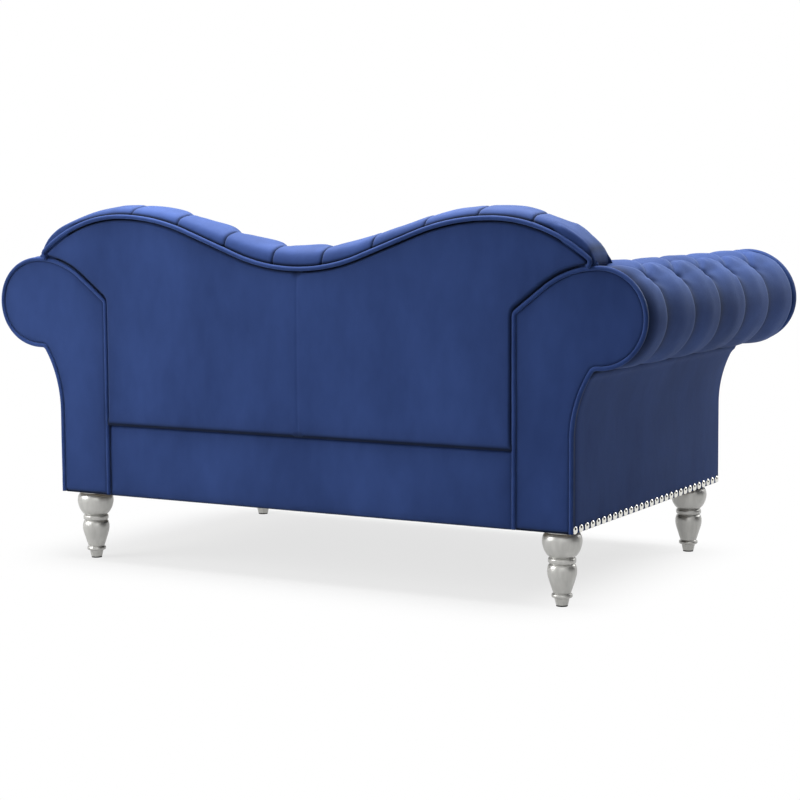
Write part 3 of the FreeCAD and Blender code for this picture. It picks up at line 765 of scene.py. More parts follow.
def backSection(x):
    wide = abs(x)
    rim = contourHeight(x)
    top = rim + crownRise(x)
    shelf = armTop(max(wide, back["side"]), 0.001)
    edge = min(max(rim - 0.003, shelf + 0.003), top - 0.004)
    edge += (shelf - 0.003 - edge) * smoothstep((wide - 0.60) / 0.06)
    rise = top - edge
    frontTop = max(top - backShape["frontDrop"], shelf + 0.004)
    seatY, seatZ = backShape["seat"]
    slope = (backShape["frontY"] - seatY) / (frontTop - seatZ)
    shelfY = seatY + slope * (shelf - seatZ)
    ear = smoothstep((wide - back["side"]) / 0.10)
    shelfY = shelfY + (backShape["earY"] - shelfY) * ear
    frontY = backShape["frontY"] + 0.030 * ear
    full = smoothstep((wide - 0.54) / 0.08)
    lowBulge = edge + 0.30 * rise + (rim + 0.50 * (top - rim) - edge - 0.30 * rise) * full
    highBulge = edge + 0.74 * rise + (rim + 0.80 * (top - rim) - edge - 0.74 * rise) * full
    upper = [(backShape["edgeY"], edge), (backShape["bulgeY"], lowBulge), (backShape["shoulderY"], highBulge),
             (backShape["crestY"], top - 0.06 * (top - rim) - 0.003 * ear),
             (backShape["topY"], top - 0.006 * ear),
             (frontY + 0.022, top - 0.016 - 0.006 * ear), (frontY, frontTop),
             ((frontY + shelfY) / 2 - 0.004, (frontTop + shelf) / 2), (shelfY, shelf)]
    lower = [(shelfY, shelf)] + backShape["low"]
    return smoothLine(upper, backPad["upperRows"]), smoothLine(lower, backPad["lowerRows"])


def backPadPiece(name):
    half = np.arange(0, backPad["end"] + 0.0001, backPad["columnStep"])
    ends = backPad["end"] + (backPad["tip"] - backPad["end"]) * np.sin(np.radians([20, 40, 58, 72, 82, 90]))
    pleats = backPad["firstPleat"] + backPad["pitch"] * np.arange(5)
    near = (pleats[:, None] + np.array([-0.004, -0.0022, -0.001, 0.0, 0.001, 0.0022, 0.004])).ravel()
    half = half[np.min(np.abs(half[:, None] - pleats), 1) > 0.0055]
    half = np.unique(np.concatenate([half, near[near < backPad["end"]], [back["side"]], ends]).round(5))
    columns = np.concatenate([-half[::-1][:-1], half])
    inner = np.where(np.abs(columns) <= back["side"] + 1e-6)[0]
    upper = []
    lower = []
    for x in columns:
        high, low = backSection(x)
        past = max(abs(x) - backPad["end"], 0) / (backPad["tip"] - backPad["end"])
        middle = high[:, 1].min() + 0.003
        high[:, 1] = middle + (high[:, 1] - middle) * max(max(1 - past ** 2.5, 0) ** 0.4, 0.03)
        upper.append(high)
        lower.append(low)
    upper = np.array(upper)
    lower = np.array(lower)
    whole = np.concatenate([upper, lower[:, 1:]], 1)
    gaps = np.linalg.norm(np.diff(whole, axis=1), axis=2)
    s = np.concatenate([np.zeros((len(columns), 1)), np.cumsum(gaps, 1)], 1)
    tangent = np.gradient(whole, axis=1)
    tangent /= np.linalg.norm(tangent, axis=2)[:, :, None] + 1e-12
    normal = np.stack([-tangent[:, :, 1], tangent[:, :, 0]], 2) * -1
    rows = [backPad["firstRow"] + k * backPad["rowStep"] for k in range(5)]
    w = np.interp(s, rows, range(5))
    phase = ((columns - backPad["firstPleat"]) / backPad["pitch"])[:, None]
    crossing = smoothstep(w / 0.4) * valleyShape(phase + w / 2)
    puff = foldShape(phase - w / 2) * (1 - 0.6 * crossing)
    wide = np.abs(columns)[:, None]
    plain = smoothstep((columns[:, None] - backPad["plainFrom"]) / 0.02)
    line = np.minimum(phase - np.floor(phase), np.ceil(phase) - phase) + plain
    boxing = 0.55 * (1 - np.exp(-line / 0.013)) + 0.12 * foldShape(phase) * (1 - plain)
    over = smoothstep((s - backPad["overFrom"]) / 0.04)
    puff = boxing * (1 - over) + puff * over
    start = 1 - np.exp(-s / 0.012)
    end = smoothstep((s[:, -1:] - s) / 0.05)
    tip = smoothstep((backPad["tip"] - np.abs(columns)) / 0.08)[:, None]
    height = (backPad["groove"] + backPad["crest"] * puff) * start * (0.5 + 0.5 * end) * tip
    spots = []
    tuftShade = np.zeros(s.shape)
    for k, mark in enumerate(rows):
        shift = backPad["pitch"] / 2 if k % 2 else 0
        for n in range(-5, 5):
            x = backPad["firstPleat"] + n * backPad["pitch"] - shift
            if abs(x) > backPad["tuftReach"]:
                continue
            tuftShade += addTuft(height, s - mark, columns[:, None] - x, backPad, n + k)
            spots.append((int(np.argmin(np.abs(columns - x))), mark))
    flat = np.stack([np.broadcast_to(columns[:, None], s.shape).ravel(), s.ravel(), np.zeros(s.size)], 1)
    height += backPad["wrinkles"] * softNoise(flat, 17.0, 9).reshape(s.shape) * start
    y = whole[:, :, 0] + normal[:, :, 0] * height
    z = whole[:, :, 1] + normal[:, :, 1] * height
    verts = np.stack([np.broadcast_to(columns[:, None], s.shape), y, z], 2)
    count = whole.shape[1]
    top = backPad["upperRows"]
    faces = []
    for i in range(len(columns) - 1):
        last = count if i in inner[:-1] else top
        for j in range(last - 1):
            a = i * count + j
            faces.append((a, a + 1, a + count + 1, a + count))
    used = np.unique(np.array(faces))
    renumber = -np.ones(len(columns) * count, int)
    renumber[used] = np.arange(len(used))
    piece = newPiece(name, verts.reshape(-1, 3)[used], renumber[np.array(faces)])
    # painted shade: thin dark lines at the pleats, along the diamond valleys, in the tuft pockets and along
    # the rear edge beside the welt
    part = pleatShare(phase - w / 2)
    paintedShade = np.exp(-part * backPad["pitch"] / 0.0022) + np.exp(-(1 - part) * backPad["pitch"] / 0.0022)
    paintedShade *= 1 - plain * (1 - over)
    paintedShade += 0.3 * crossing * over + tuftShade
    paintedShade += smoothstep((0.0165 - s) / 0.006) * (1 - smoothstep((wide - 0.650) / 0.02))
    paintCreaseShade(piece, paintedShade.ravel()[used])
    faceTowards(piece, (0, 0, 1), back["dipHeight"] + 0.035)
    thicken(piece, backPad["thick"])
    places = []
    ups = []
    for i, mark in spots:
        j = int(np.argmin(np.abs(s[i] - mark)))
        places.append(verts[i, j] + 0.001 * np.array([0, normal[i, j, 0], normal[i, j, 1]]))
        ups.append((0, normal[i, j, 0], normal[i, j, 1]))
    return piece, places, ups


piece, places, ups = backPadPiece("back_tufted_cover")
finishPiece(piece, velvetPad, "frame", "back_pad")
piece = buttonRow("back_tuft_buttons", places, ups, buttonSize)
finishPiece(piece, velvetWelt, "frame", "back_buttons")
print("back cover made")

# flat covers at the back, on the arm facings and on the rails
coverLook = {"step": 0.012, "backDraw": 0.009, "backLip": 0.0045, "bandDraw": 0.0055, "wide": 0.5135,
             "bandPlane": 0.440, "band": (0.1588, 0.3235), "frontPlane": -0.394, "front": (0.161, 0.3165),
             "facingStep": 0.010, "facingDraw": 0.007, "facingInset": -0.0012, "facingLip": 0.0035,
             "facingPlanes": {"back": 0.441, "front": -0.399}}


def backPanelOutline():
    contour = tippedContour(0.0025)
    tip = contour[-1]
    notch = [(x, armTop(x, 0.0015)) for x in np.linspace(tip[0] - 0.003, arm["inner"] + 0.004, 40)]
    side = coverLook["wide"]
    notch += [(side + 0.001, notch[-1][1] - 0.006), (side, notch[-1][1] - 0.014)]
    right = np.vstack([contour[len(contour) // 2:], notch, [(side, back["panelLow"] + 0.0015)]])
    return np.vstack([right, right[::-1][:-1] * [-1, 1]])


def bandOutline(levels):
    x = coverLook["wide"]
    return np.array([(-x, levels[0]), (x, levels[0]), (x, levels[1]), (-x, levels[1])])


piece = stretchedCover("outside_back_cover", backPanelOutline(), back["panelRear"], 1, coverLook["step"],
                       coverLook["backDraw"], 0.0015, 3, 0.010, 0.8, True, coverLook["backLip"])
finishPiece(piece, velvetPanel, "frame", "outside_back_panel")
piece = stretchedCover("lower_back_cover", bandOutline(coverLook["band"]), coverLook["bandPlane"], 1,
                       coverLook["step"], coverLook["bandDraw"], 0.001, 5)
finishPiece(piece, velvetPanel, "frame", "back_rail_cover")
piece = stretchedCover("front_rail_velvet", bandOutline(coverLook["front"]), coverLook["frontPlane"], -1,
                       coverLook["step"], coverLook["bandDraw"], 0.001, 6)
finishPiece(piece, velvetPanel, "frame", "front_rail_cover")
for side, sign in bothSides:
    facing = fullRoll(armLine(coverLook["facingInset"], arm["bottom"] - 0.001), side) * [sign, 1]
    for end, towards, seed in (("back", 1, 7 + sign), ("front", -1, 11 + sign)):
        piece = stretchedCover(end + "_arm_facing_" + side, facing, coverLook["facingPlanes"][end], towards,
                               coverLook["facingStep"], coverLook["facingDraw"], 0.0008, seed,
                               lip=coverLook["facingLip"])
        finishPiece(piece, velvetPanel, "frame", "arm_" + end + "_facing_" + side)
print("flat covers made")

# outside arm cover: down from the crease under the roll to the nailheads
armSide = {"step": 0.006, "thick": 0.006, "turnIn": 0.010, "frontOut": 0.008, "rearGap": 0.0045,
           "waves": 0.0016, "hem": 0.0035, "rearDip": 0.006}


def armSideCover(name, seed):
    path, marks = resample(armLine(0, arm["bottom"], 7, 9), armSide["step"])
    normal = lineNormals(path)
    y0 = arm["frontFace"] - armSide["frontOut"]
    y1 = arm["backFace"] + armSide["rearGap"]
    ys = np.linspace(y0, y1, int((y1 - y0) / armSide["step"]) + 1)
    ys = np.unique(np.concatenate([ys, y0 + armSide["turnIn"] * np.array([0.05, 0.15, 0.3, 0.5, 0.75, 1.0])]))
    s, y = np.meshgrid(marks, ys, indexing="ij")
    flat = np.stack([np.zeros(s.size), y.ravel(), s.ravel()], 1)
    waves = softNoise(flat * [1, 1, 0.5], 6.0, seed).reshape(s.shape)
    height = armSide["waves"] * waves * smoothstep((y1 - y) / 0.05)
    into = np.clip((y0 + armSide["turnIn"] - y) / armSide["turnIn"], 0, 1)
    height -= armSide["turnIn"] * 0.8 * (1 - np.sqrt(1 - into ** 2 * 0.98))
    height += armSide["hem"] * np.exp(-0.5 * ((s - 0.010) / 0.006) ** 2)
    height -= armSide["rearDip"] * np.exp(-(y1 - y) / 0.009)
    verts = raisedGrid(path, normal, height, y)
    piece = newPiece(name, verts.reshape(-1, 3), gridFaces(*s.shape))
    # painted shade under the roll's crease and beside the rear welt
    paintCreaseShade(piece, np.exp(-s / 0.004) + 0.95 * np.exp(-((y1 - y) / 0.014) ** 2))
    faceTowards(piece, (1, 0, 0))
    thicken(piece, armSide["thick"])
    return piece


piece = armSideCover("outside_arm_cover_right", 2)
other = mirrorPiece(piece, "outside_arm_cover_left")
for cover, side in ((piece, "right"), (other, "left")):
    finishPiece(cover, velvetPanel, "frame", "outside_arm_panel_" + side)
print("outside arms made")

# welts
def upright(line, y):
    return np.stack([line[:, 0], np.full(len(line), y), line[:, 1]], 1)


line = upright(tippedContour(0.0005), back["panelRear"] + 0.001)
piece = weltAlong("back_piping", line, weltLook["radius"], False, 1)
finishPiece(piece, velvetWelt, "frame", "back_welt")
weltLow = arm["bottom"] + 0.001
frontRuns = armRuns(weltLook["inset"], weltLow)[0:3]
frontRuns.append(arcPoints(shoulderCentre, arm["shoulderRadius"] + weltLook["inset"], slopeAngle(), 120))
frontLine = upright(np.vstack(frontRuns), arm["frontFace"] - weltLook["out"])
for side, sign in bothSides:
    backLine = upright(fullRoll(armLine(weltLook["inset"], weltLow), side), arm["backFace"] + weltLook["out"])
    piece = weltAlong("back_arm_piping_" + side, backLine * [sign, 1, 1], weltLook["radius"], False, 2 + sign)
    finishPiece(piece, velvetWelt, "frame", "arm_back_welt_" + side)
frontWelts = []
for sign in (1, -1):
    frontWelts.append(weltAlong("front_arm_piping", frontLine * [sign, 1, 1], weltLook["radius"], False,
                                5 + sign, (0, 1, 0), -1))
joinPieces(*frontWelts)
finishPiece(frontWelts[0], velvetWelt, "frame", "arm_front_welts")
print("welts made")

# row of domed nails along the lower edge of each arm and of the front
nailLook = {"radius": 0.0088, "rise": 0.0050, "height": 0.1680, "armCount": 29, "frontCount": 35,
            "armEnds": (0.012, 0.003), "armOut": 0.0008, "frontReach": 0.497, "frontY": -0.3948}


def nailRow(name, start, end, count, outward):
    mesh = bmesh.new()
    turn = Vector((0, 0, 1)).rotation_difference(Vector(outward)).to_matrix().to_4x4()
    for k in range(count):
        made = bmesh.ops.create_uvsphere(mesh, u_segments=20, v_segments=12, radius=nailLook["radius"])
        spot = Vector(start).lerp(Vector(end), k / (count - 1))
        for v in made["verts"]:
            dome = v.co.z > 0
            v.co.z *= nailLook["rise"] / nailLook["radius"] if dome else 0.2
            v.co = turn @ v.co + spot
    return pieceFrom(name, mesh)


for side, sign in bothSides:
    x = sign * (arm["outer"] + nailLook["armOut"])
    start = (x, arm["frontFace"] + nailLook["armEnds"][0], nailLook["height"])
    end = (x, arm["backFace"] - nailLook["armEnds"][1], nailLook["height"])
    piece = nailRow("arm_nail_row_" + side, start, end, nailLook["armCount"], (sign, 0, 0))
    finishPiece(piece, nailMetal, "frame", "arm_nailheads_" + side)
start = (-nailLook["frontReach"], nailLook["frontY"], nailLook["height"])
end = (nailLook["frontReach"], nailLook["frontY"], nailLook["height"])
piece = nailRow("front_nail_row", start, end, nailLook["frontCount"], (0, -1, 0))
finishPiece(piece, nailMetal, "frame", "front_nailheads")
print("nails made")

# gathered round cap on the front of each roll
capLook = {"pleats": 18, "pleatDepth": 0.0045, "rings": 44, "turns": 216, "button": 0.014,
           "bulge": 0.045, "flatter": 0.06,
           "line": [(0.098, -0.4135), (0.1085, -0.4155), (0.1120, -0.4215), (0.1122, -0.4290),
                    (0.1080, -0.4372), (0.0960, -0.4430), (0.0700, -0.4462), (0.0400, -0.4452),
                    (0.0160, -0.4395), (0.0005, -0.4370)]}


def frontCap(name):
    outline = smoothLine(capLook["line"], capLook["rings"])
    angles = np.linspace(0, 2 * math.pi, capLook["turns"], endpoint=False)
    r, a = np.meshgrid(outline[:, 0], angles, indexing="ij")
    y = np.broadcast_to(outline[:, 1][:, None], r.shape).copy()
    gather = np.abs(np.sin(a * capLook["pleats"] / 2)) ** 0.6 - 0.6
    reach = smoothstep((0.100 - r) / 0.03) * smoothstep((r - 0.006) / 0.02)
    y -= capLook["pleatDepth"] * gather * reach
    bulge = 1 + capLook["bulge"] * np.clip(np.cos(a), 0, 1)
    flatter = 1 - capLook["flatter"] * np.clip(-np.sin(a), 0, 1)
    x = arm["rollX"] + r * bulge * np.cos(a)
    z = arm["rollZ"] + r * flatter * np.sin(a)
    verts = np.stack([x, y, z], -1).reshape(-1, 3)
    turns = capLook["turns"]
    faces = ringFaces(capLook["rings"], turns)
    faces.append(tuple((capLook["rings"] - 1) * turns + k for k in range(turns)))
    faces.append(tuple(range(turns))[::-1])
    piece = newPiece(name, verts, faces)
    faceOutward(piece)
    spot = (arm["rollX"], capLook["line"][-1][1], arm["rollZ"])
    joinPieces(piece, buttonRow(name + "_button", [spot], [(0, -1, 0)], capLook["button"]))
    return piece


piece = frontCap("roll_front_cap_right")
other = mirrorPiece(piece, "roll_front_cap_left")
for cap, side in ((piece, "right"), (other, "left")):
    finishPiece(cap, velvetPad, "frame", "arm_front_cap_" + side)
print("front caps made")

# turned legs, one profile spun round the leg's axis
legLook = {"turns": 56, "edge": 40, "x": 0.597, "backY": 0.384, "frontY": -0.328,
           "foot": [(0.0, 0.003), (0.0126, 0.003), (0.0158, 0.0172), (0.0174, 0.0178)],
           "lowRing": [(0.0186, 0.0180), (0.0212, 0.0195), (0.0219, 0.0225), (0.0210, 0.0255),
                       (0.0188, 0.0270)],
           "vase": [(0.0184, 0.0276), (0.0245, 0.0460), (0.0298, 0.0640), (0.0308, 0.0755), (0.0290, 0.0845),
                    (0.0258, 0.0888)],
           "ring": [(0.0262, 0.0893), (0.0286, 0.0915), (0.0292, 0.0955), (0.0286, 0.0995), (0.0262, 0.1017)],
           "bulb": [(0.0258, 0.1022), (0.0318, 0.1078), (0.0378, 0.1180), (0.0411, 0.1300), (0.0414, 0.1395),
                    (0.0394, 0.1475), (0.0352, 0.1538)],
           "collar": [(0.0345, 0.1542), (0.0345, 0.1600), (0.0, 0.1600)]}


def legProfile():
    turned = [smoothLine(legLook[key], 18) for key in ("lowRing", "vase", "ring", "bulb")]
    return np.vstack([legLook["foot"]] + turned + [legLook["collar"]])


def turnedLeg(name, x, y):
    points = [(r, 0.0, z) for r, z in legProfile()]
    piece = newPiece(name, points, [])
    makeActive(piece)
    mesh = bmesh.new()
    mesh.from_mesh(piece.data)
    mesh.verts.ensure_lookup_table()
    for i in range(len(points) - 1):
        mesh.edges.new((mesh.verts[i], mesh.verts[i + 1]))
    mesh.to_mesh(piece.data)
    mesh.free()
    bpy.ops.object.mode_set(mode="EDIT")
    bpy.ops.mesh.select_all(action="SELECT")
    bpy.ops.mesh.spin(steps=legLook["turns"], angle=2 * math.pi, center=(0, 0, 0), axis=(0, 0, 1))
    bpy.ops.mesh.select_all(action="SELECT")
    bpy.ops.mesh.remove_doubles(threshold=0.00005)
    bpy.ops.mesh.normals_make_consistent(inside=False)
    bpy.ops.object.mode_set(mode="OBJECT")
    for v in piece.data.vertices:
        v.co.x += x
        v.co.y += y
    makeActive(piece)
    bpy.ops.object.shade_smooth_by_angle(angle=math.radians(legLook["edge"]))
    return piece


for side, sign in bothSides:
    for place in ("back", "front"):
        piece = turnedLeg("turned_leg_" + place + "_" + side, sign * legLook["x"], legLook[place + "Y"])
        finishPiece(piece, silverLeg, "frame", "leg_" + place + "_" + side)
print("legs made")

# loose seat cushions: a boxed form blown up against its two sewn seams
cushion = {"x0": 0.008, "x1": 0.494, "y0": -0.395, "y1": 0.178, "round": 0.030, "bow": 2.0, "low": 0.3166,
           "seams": (0.3235, 0.452), "weltInsets": (0.0035, -0.001), "voxel": 0.009, "frames": 18,
           "underside": [(0.0, 0.0), (0.25, 0.0), (0.5, 0.0), (0.72, 0.0), (0.88, 0.002), (0.96, 0.008)],
           "crown": [(0.97, 0.006), (0.92, 0.010), (0.84, 0.013), (0.74, 0.015), (0.62, 0.017), (0.48, 0.018),
                     (0.33, 0.018), (0.18, 0.018), (0.02, 0.018)],
           "roomX": (0.0035, 0.4985), "roomY": (-0.404, 0.1835), "swell": (0.007, 0.022),
           "wallGap": 0.006, "seamGap": 0.005, "wrinkles": 0.0016}
cushionCloth = {"quality": 6, "mass": 0.4, "tension_stiffness": 12, "compression_stiffness": 6,
                "bending_stiffness": 0.4, "use_pressure": True, "uniform_pressure_force": 2.2,
                "shrink_min": -0.03, "vertex_group_mass": "seams"}


def cushionLine(inset, step=0.006):
    r = cushion["round"]
    x0, x1 = cushion["x0"] + inset + r, cushion["x1"] - inset - r
    y0, y1 = cushion["y0"] + inset + r, cushion["y1"] - inset - r
    corners = [(x0, y0), (x1, y0), (x1, y1), (x0, y1)]
    bow = cushion["bow"]
    runs = []
    for k in range(4):
        turn = 90 * k
        here = np.array(corners[k])
        there = np.array(corners[(k + 1) % 4])
        start = arcPoints(here, r, turn - 90 + bow, turn - 90 + bow + 0.1)[0]
        end = arcPoints(there, r, turn - 90 - bow, turn - 90 - bow + 0.1)[0]
        t = np.linspace(0, 1, 60)[:, None]
        inward = np.array([math.cos(math.radians(turn + 90)), math.sin(math.radians(turn + 90))])
        sag = np.linalg.norm(end - start) / 2 * math.tan(math.radians(bow / 2))
        runs.append(start + (end - start) * t + inward * sag * 4 * t * (1 - t))
        runs.append(arcPoints(there, r, turn - 90 - bow, turn + bow, 0.002))
    line = np.vstack(runs)
    line, _ = resample(np.vstack([line, line[:1]]), step)
    return line[:-1]


def cushionPiece(name, seed):
    rim = cushionLine(0, 0.011)
    count = len(rim)
    middle = np.array([(cushion["x0"] + cushion["x1"]) / 2, (cushion["y0"] + cushion["y1"]) / 2])
    low, high = cushion["seams"]
    verts = []
    for share, rise in cushion["underside"]:
        flat = middle + (rim - middle) * max(share, 0.02)
        verts.append(np.column_stack([flat, np.full(count, cushion["low"] + rise)]))
    for z in np.linspace(low, high, 11):
        verts.append(np.column_stack([rim, np.full(count, z)]))
    for share, rise in cushion["crown"]:
        verts.append(np.column_stack([middle + (rim - middle) * share, np.full(count, high + rise)]))
    rows = len(verts)
    faces = ringFaces(rows, count)
    faces.append(tuple(range(count))[::-1])
    faces.append(tuple((rows - 1) * count + k for k in range(count)))
    piece = newPiece(name, np.vstack(verts), faces)
    applyModifier(piece, "REMESH", mode="VOXEL", voxel_size=cushion["voxel"])
    rest = np.array([v.co for v in piece.data.vertices])
    pins = piece.vertex_groups.new(name="seams")
    wall = edgeDistance(rest[:, :2], rim) < cushion["wallGap"]
    near = np.minimum(np.abs(rest[:, 2] - low), np.abs(rest[:, 2] - high))
    seam = wall & (near < cushion["seamGap"])
    pins.add([int(k) for k in np.where(seam | (rest[:, 2] < cushion["low"] + 0.003))[0]], 1.0, "REPLACE")
    cloth = piece.modifiers.new("cloth", "CLOTH")
    for key, value in cushionCloth.items():
        setattr(cloth.settings, key, value)
    cloth.settings.effector_weights.gravity = 0
    cloth.collision_settings.use_collision = False
    scene = bpy.context.scene
    for step in range(1, cushion["frames"] + 1):
        scene.frame_set(step)
    graph = bpy.context.evaluated_depsgraph_get()
    blown = piece.evaluated_get(graph)
    moved = np.array([v.co for v in blown.data.vertices])
    piece.modifiers.remove(cloth)
    scene.frame_set(1)
    shift = moved - rest
    size = np.linalg.norm(shift, axis=1)
    cap = np.where(rest[:, 2] > high, cushion["swell"][1], cushion["swell"][0])
    shift *= np.minimum(1, cap / np.maximum(size, 1e-9))[:, None]
    moved = rest + shift
    moved[:, 2] = np.maximum(moved[:, 2], cushion["low"])
    moved[:, 0] = np.clip(moved[:, 0], *cushion["roomX"])
    moved[:, 1] = np.clip(moved[:, 1], *cushion["roomY"])
    for v, co in zip(piece.data.vertices, moved):
        v.co = co
    wrinkles = softNoise(np.array([v.co for v in piece.data.vertices]), 13.0, seed)
    for v, amount in zip(piece.data.vertices, wrinkles):
        if v.co.z > high + 0.004:
            v.co.z += cushion["wrinkles"] * amount
    applyModifier(piece, "SUBSURF", levels=1, render_levels=1)
    return piece


for side, sign, seed in (("right", 1, 3), ("left", -1, 8)):
    piece = cushionPiece("seat_cushion_velvet_" + side, seed)
    seams = []
    for level, inset in zip(cushion["seams"], cushion["weltInsets"]):
        ring = cushionLine(inset)
        ring = np.column_stack([ring, np.full(len(ring), level)])
        seams.append(weltAlong("seat_cushion_piping_" + side, ring, weltLook["cushionRadius"], True, seed,
                               (0, 0, 1), 0))
    joinPieces(*seams)
    if sign < 0:
        flipAcross(piece)
        flipAcross(seams[0])
    finishPiece(piece, velvetPad, "cushion_" + side, "seat_cushion_" + side)
    finishPiece(seams[0], velvetWelt, "cushion_" + side, "seat_cushion_welts_" + side)
print("seat cushions made")


# deck under the cushions and the dust cloth under the frame
boardStep = 0.02


def softBoard(name, low, high, step, sag, seed, quilt):
    xs = np.linspace(low[0], high[0], int((high[0] - low[0]) / step) + 1)
    ys = np.linspace(low[1], high[1], int((high[1] - low[1]) / step) + 1)
    x, y = np.meshgrid(xs, ys, indexing="ij")
    edge = np.minimum.reduce([x - low[0], high[0] - x, y - low[1], high[1] - y])
    flat = np.stack([x.ravel(), y.ravel(), np.zeros(x.size)], 1)
    wave = softNoise(flat, 8.0, seed).reshape(x.shape)
    z = high[2] - quilt * np.exp(-edge / 0.01) + sag * (1 - np.exp(-edge / 0.08)) * (0.8 + 0.4 * wave)
    piece = newPiece(name, np.stack([x, y, z], -1).reshape(-1, 3), gridFaces(*x.shape))
    faceTowards(piece, (0, 0, 1))
    thicken(piece, (high[2] - low[2]) * 0.9)
    return piece


low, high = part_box("deck_pad")
piece = softBoard("deck_cover", low, high, boardStep, 0.0, 4, 0.004)
finishPiece(piece, deckCloth, "frame", "deck_pad")
low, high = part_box("dust_cover")
piece = softBoard("dust_cloth", low, high, boardStep, -0.002, 6, 0.0)
finishPiece(piece, dustCloth, "frame", "dust_cover")
print("deck and dust cloth made")

# camera at the photo's place
photoView = {"lens": 90.79, "sensor": 36.0, "place": (-2.2992, 4.1029, 0.8552),
             "ahead": (0.48565, -0.86789, -0.10449), "roll": -0.29}
camera = bpy.data.cameras.new("photo_camera")
camera.lens = photoView["lens"]
camera.sensor_width = photoView["sensor"]
cameraObject = bpy.data.objects.new("photo_camera", camera)
bpy.context.collection.objects.link(cameraObject)
cameraObject.location = photoView["place"]
turn = Vector(photoView["ahead"]).to_track_quat("-Z", "Y").to_matrix().to_4x4()
turn = turn @ Euler((0, 0, math.radians(photoView["roll"]))).to_matrix().to_4x4()
cameraObject.rotation_euler = turn.to_euler()
bpy.context.scene.camera = cameraObject

# pale floor, painted darker in a box round the sofa, soft lamps, and a pale world with a dark patch that only
# reflections see
studio = {"floor": 14.0, "world": 0.10, "worldTint": (0.97, 0.985, 1.0), "shadowMid": (0.08, 0.0, 0.0),
          "shadowHalf": (0.52, 0.36, 1.0), "shadowFade": 0.32, "shadowShare": 0.75,
          "darkReflectionSide": (-0.90, -0.28, 0.34), "darkReflectionFrom": (0.78, 0.92), "darkReflectionLevel": 0.06}
studioLamps = [{"place": (2.4, 2.3, 1.7), "aim": (0.3, 0.3, 0.5), "size": 1.8, "power": 92},
               {"place": (-1.9, 3.4, 1.6), "aim": (-0.3, 0.3, 0.4), "size": 2.2, "power": 14},
               {"place": (-1.25, -1.25, 0.9), "aim": (-0.6, -0.3, 0.4), "size": 0.7, "power": 6.5},
               {"place": (0.3, -0.2, 3.0), "aim": (0.0, 0.0, 0.5), "size": 2.4, "power": 330}]


def makeFloor():
    bpy.ops.object.select_all(action="DESELECT")
    bpy.ops.mesh.primitive_plane_add(size=studio["floor"], location=(0, 0, 0))
    floor = bpy.context.active_object
    floor.name = "studio_floor"
    bpy.ops.object.transform_apply(location=True, rotation=True, scale=True)
    material, nodes, links, shader = nodeMaterial("pale_floor")
    setInputs(shader, {"Base Color": (0.50, 0.50, 0.50, 1), "Roughness": 0.85, "Specular IOR Level": 0.1})
    glow = addNode(nodes, "ShaderNodeEmission", Strength=1.0)
    glow.inputs["Color"].default_value = (1, 1, 1, 1)
    seen = addNode(nodes, "ShaderNodeLightPath")
    # how far a point of the floor lies outside the shadow's box; inside it the white glow is cut back, a
    # painted shade round the sofa through which its real shadow shows
    reach = objectPlace(nodes, links)
    for operation, value in (("SUBTRACT", studio["shadowMid"]), ("ABSOLUTE", None),
                             ("SUBTRACT", studio["shadowHalf"]), ("MAXIMUM", None), ("LENGTH", None)):
        measure = addNode(nodes, "ShaderNodeVectorMath", operation=operation)
        if value:
            measure.inputs[1].default_value = value
        links.new(reach, measure.inputs[0])
        reach = measure.outputs["Value" if operation == "LENGTH" else "Vector"]
    fade = addNode(nodes, "ShaderNodeMapRange", interpolation_type="SMOOTHSTEP")
    setInputs(fade, {"From Max": studio["shadowFade"], "To Min": studio["shadowShare"]})
    links.new(reach, fade.inputs["Value"])
    either = addNode(nodes, "ShaderNodeMath", operation="MAXIMUM")
    links.new(seen.outputs["Is Camera Ray"], either.inputs[0])
    links.new(seen.outputs["Is Glossy Ray"], either.inputs[1])
    share = addNode(nodes, "ShaderNodeMath", operation="MULTIPLY")
    links.new(fade.outputs["Result"], share.inputs[1])
    blend = addNode(nodes, "ShaderNodeMixShader")
    links.new(either.outputs[0], share.inputs[0])
    links.new(share.outputs[0], blend.inputs[0])
    links.new(shader.outputs["BSDF"], blend.inputs[1])
    links.new(glow.outputs["Emission"], blend.inputs[2])
    links.new(blend.outputs["Shader"], nodes["Material Output"].inputs["Surface"])
    floor.data.materials.append(material)


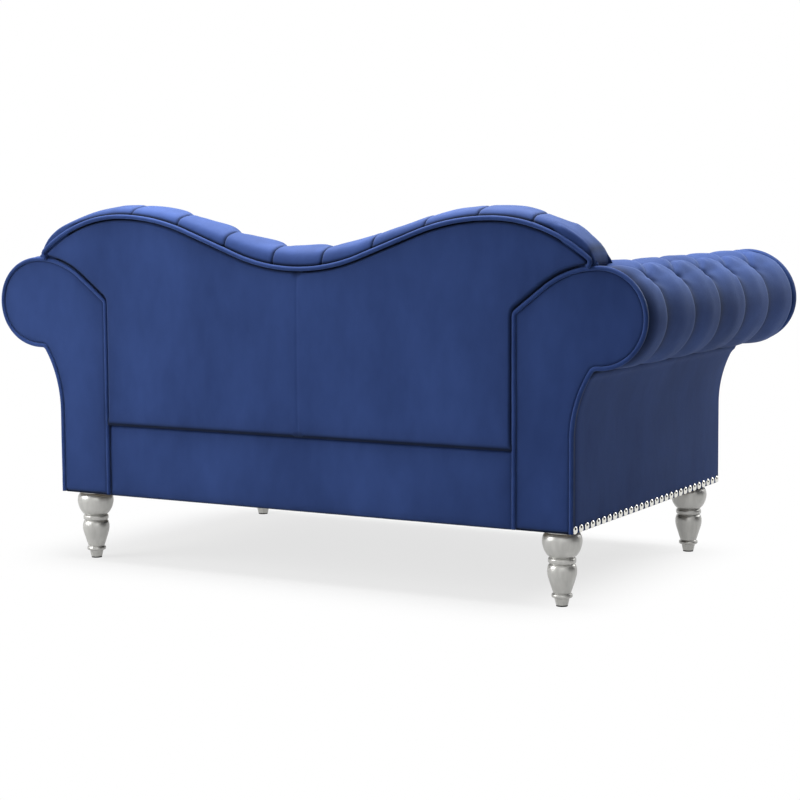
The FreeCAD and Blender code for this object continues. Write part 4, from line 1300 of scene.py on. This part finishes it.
def makeWorld():
    world = bpy.data.worlds.new("studio_world")
    bpy.context.scene.world = world
    world.use_nodes = True
    nodes = world.node_tree.nodes
    links = world.node_tree.links
    fill = nodes["Background"]
    setInputs(fill, {"Color": studio["worldTint"] + (1,), "Strength": studio["world"]})
    white = addNode(nodes, "ShaderNodeBackground", Strength=1.0)
    white.inputs["Color"].default_value = (1, 1, 1, 1)
    # painted reflection: glossy rays see the white world dimmed towards one side, so nails and legs show a
    # dark mark there; the camera still sees white
    seen = addNode(nodes, "ShaderNodeLightPath")
    place = addNode(nodes, "ShaderNodeTexCoord")
    towards = addNode(nodes, "ShaderNodeVectorMath", operation="DOT_PRODUCT")
    towards.inputs[1].default_value = studio["darkReflectionSide"]
    dim = addNode(nodes, "ShaderNodeMapRange", interpolation_type="SMOOTHSTEP")
    low, high = studio["darkReflectionFrom"]
    setInputs(dim, {"From Min": low, "From Max": high, "To Min": 1.0, "To Max": studio["darkReflectionLevel"]})
    level = addNode(nodes, "ShaderNodeMath", operation="MAXIMUM")
    links.new(place.outputs["Generated"], towards.inputs[0])
    links.new(towards.outputs["Value"], dim.inputs["Value"])
    links.new(dim.outputs["Result"], level.inputs[0])
    links.new(seen.outputs["Is Camera Ray"], level.inputs[1])
    links.new(level.outputs[0], white.inputs["Strength"])
    first = addNode(nodes, "ShaderNodeMath", operation="MAXIMUM")
    both = addNode(nodes, "ShaderNodeMath", operation="MAXIMUM")
    blend = addNode(nodes, "ShaderNodeMixShader")
    links.new(seen.outputs["Is Camera Ray"], first.inputs[0])
    links.new(seen.outputs["Is Glossy Ray"], first.inputs[1])
    links.new(first.outputs[0], both.inputs[0])
    links.new(seen.outputs["Is Transmission Ray"], both.inputs[1])
    links.new(both.outputs[0], blend.inputs[0])
    links.new(fill.outputs["Background"], blend.inputs[1])
    links.new(white.outputs["Background"], blend.inputs[2])
    links.new(blend.outputs["Shader"], nodes["World Output"].inputs["Surface"])


def makeLamps():
    for k, look in enumerate(studioLamps):
        lamp = bpy.data.lights.new("studio_lamp_%d" % k, "AREA")
        lamp.shape = "SQUARE"
        lamp.size = look["size"]
        lamp.energy = look["power"]
        stand = bpy.data.objects.new("studio_lamp_%d" % k, lamp)
        bpy.context.collection.objects.link(stand)
        stand.location = look["place"]
        ahead = Vector(look["aim"]) - Vector(look["place"])
        stand.rotation_euler = ahead.to_track_quat("-Z", "Y").to_euler()


makeFloor()
makeWorld()
makeLamps()
bpy.context.scene.view_settings.view_transform = "Standard"
print("studio made")
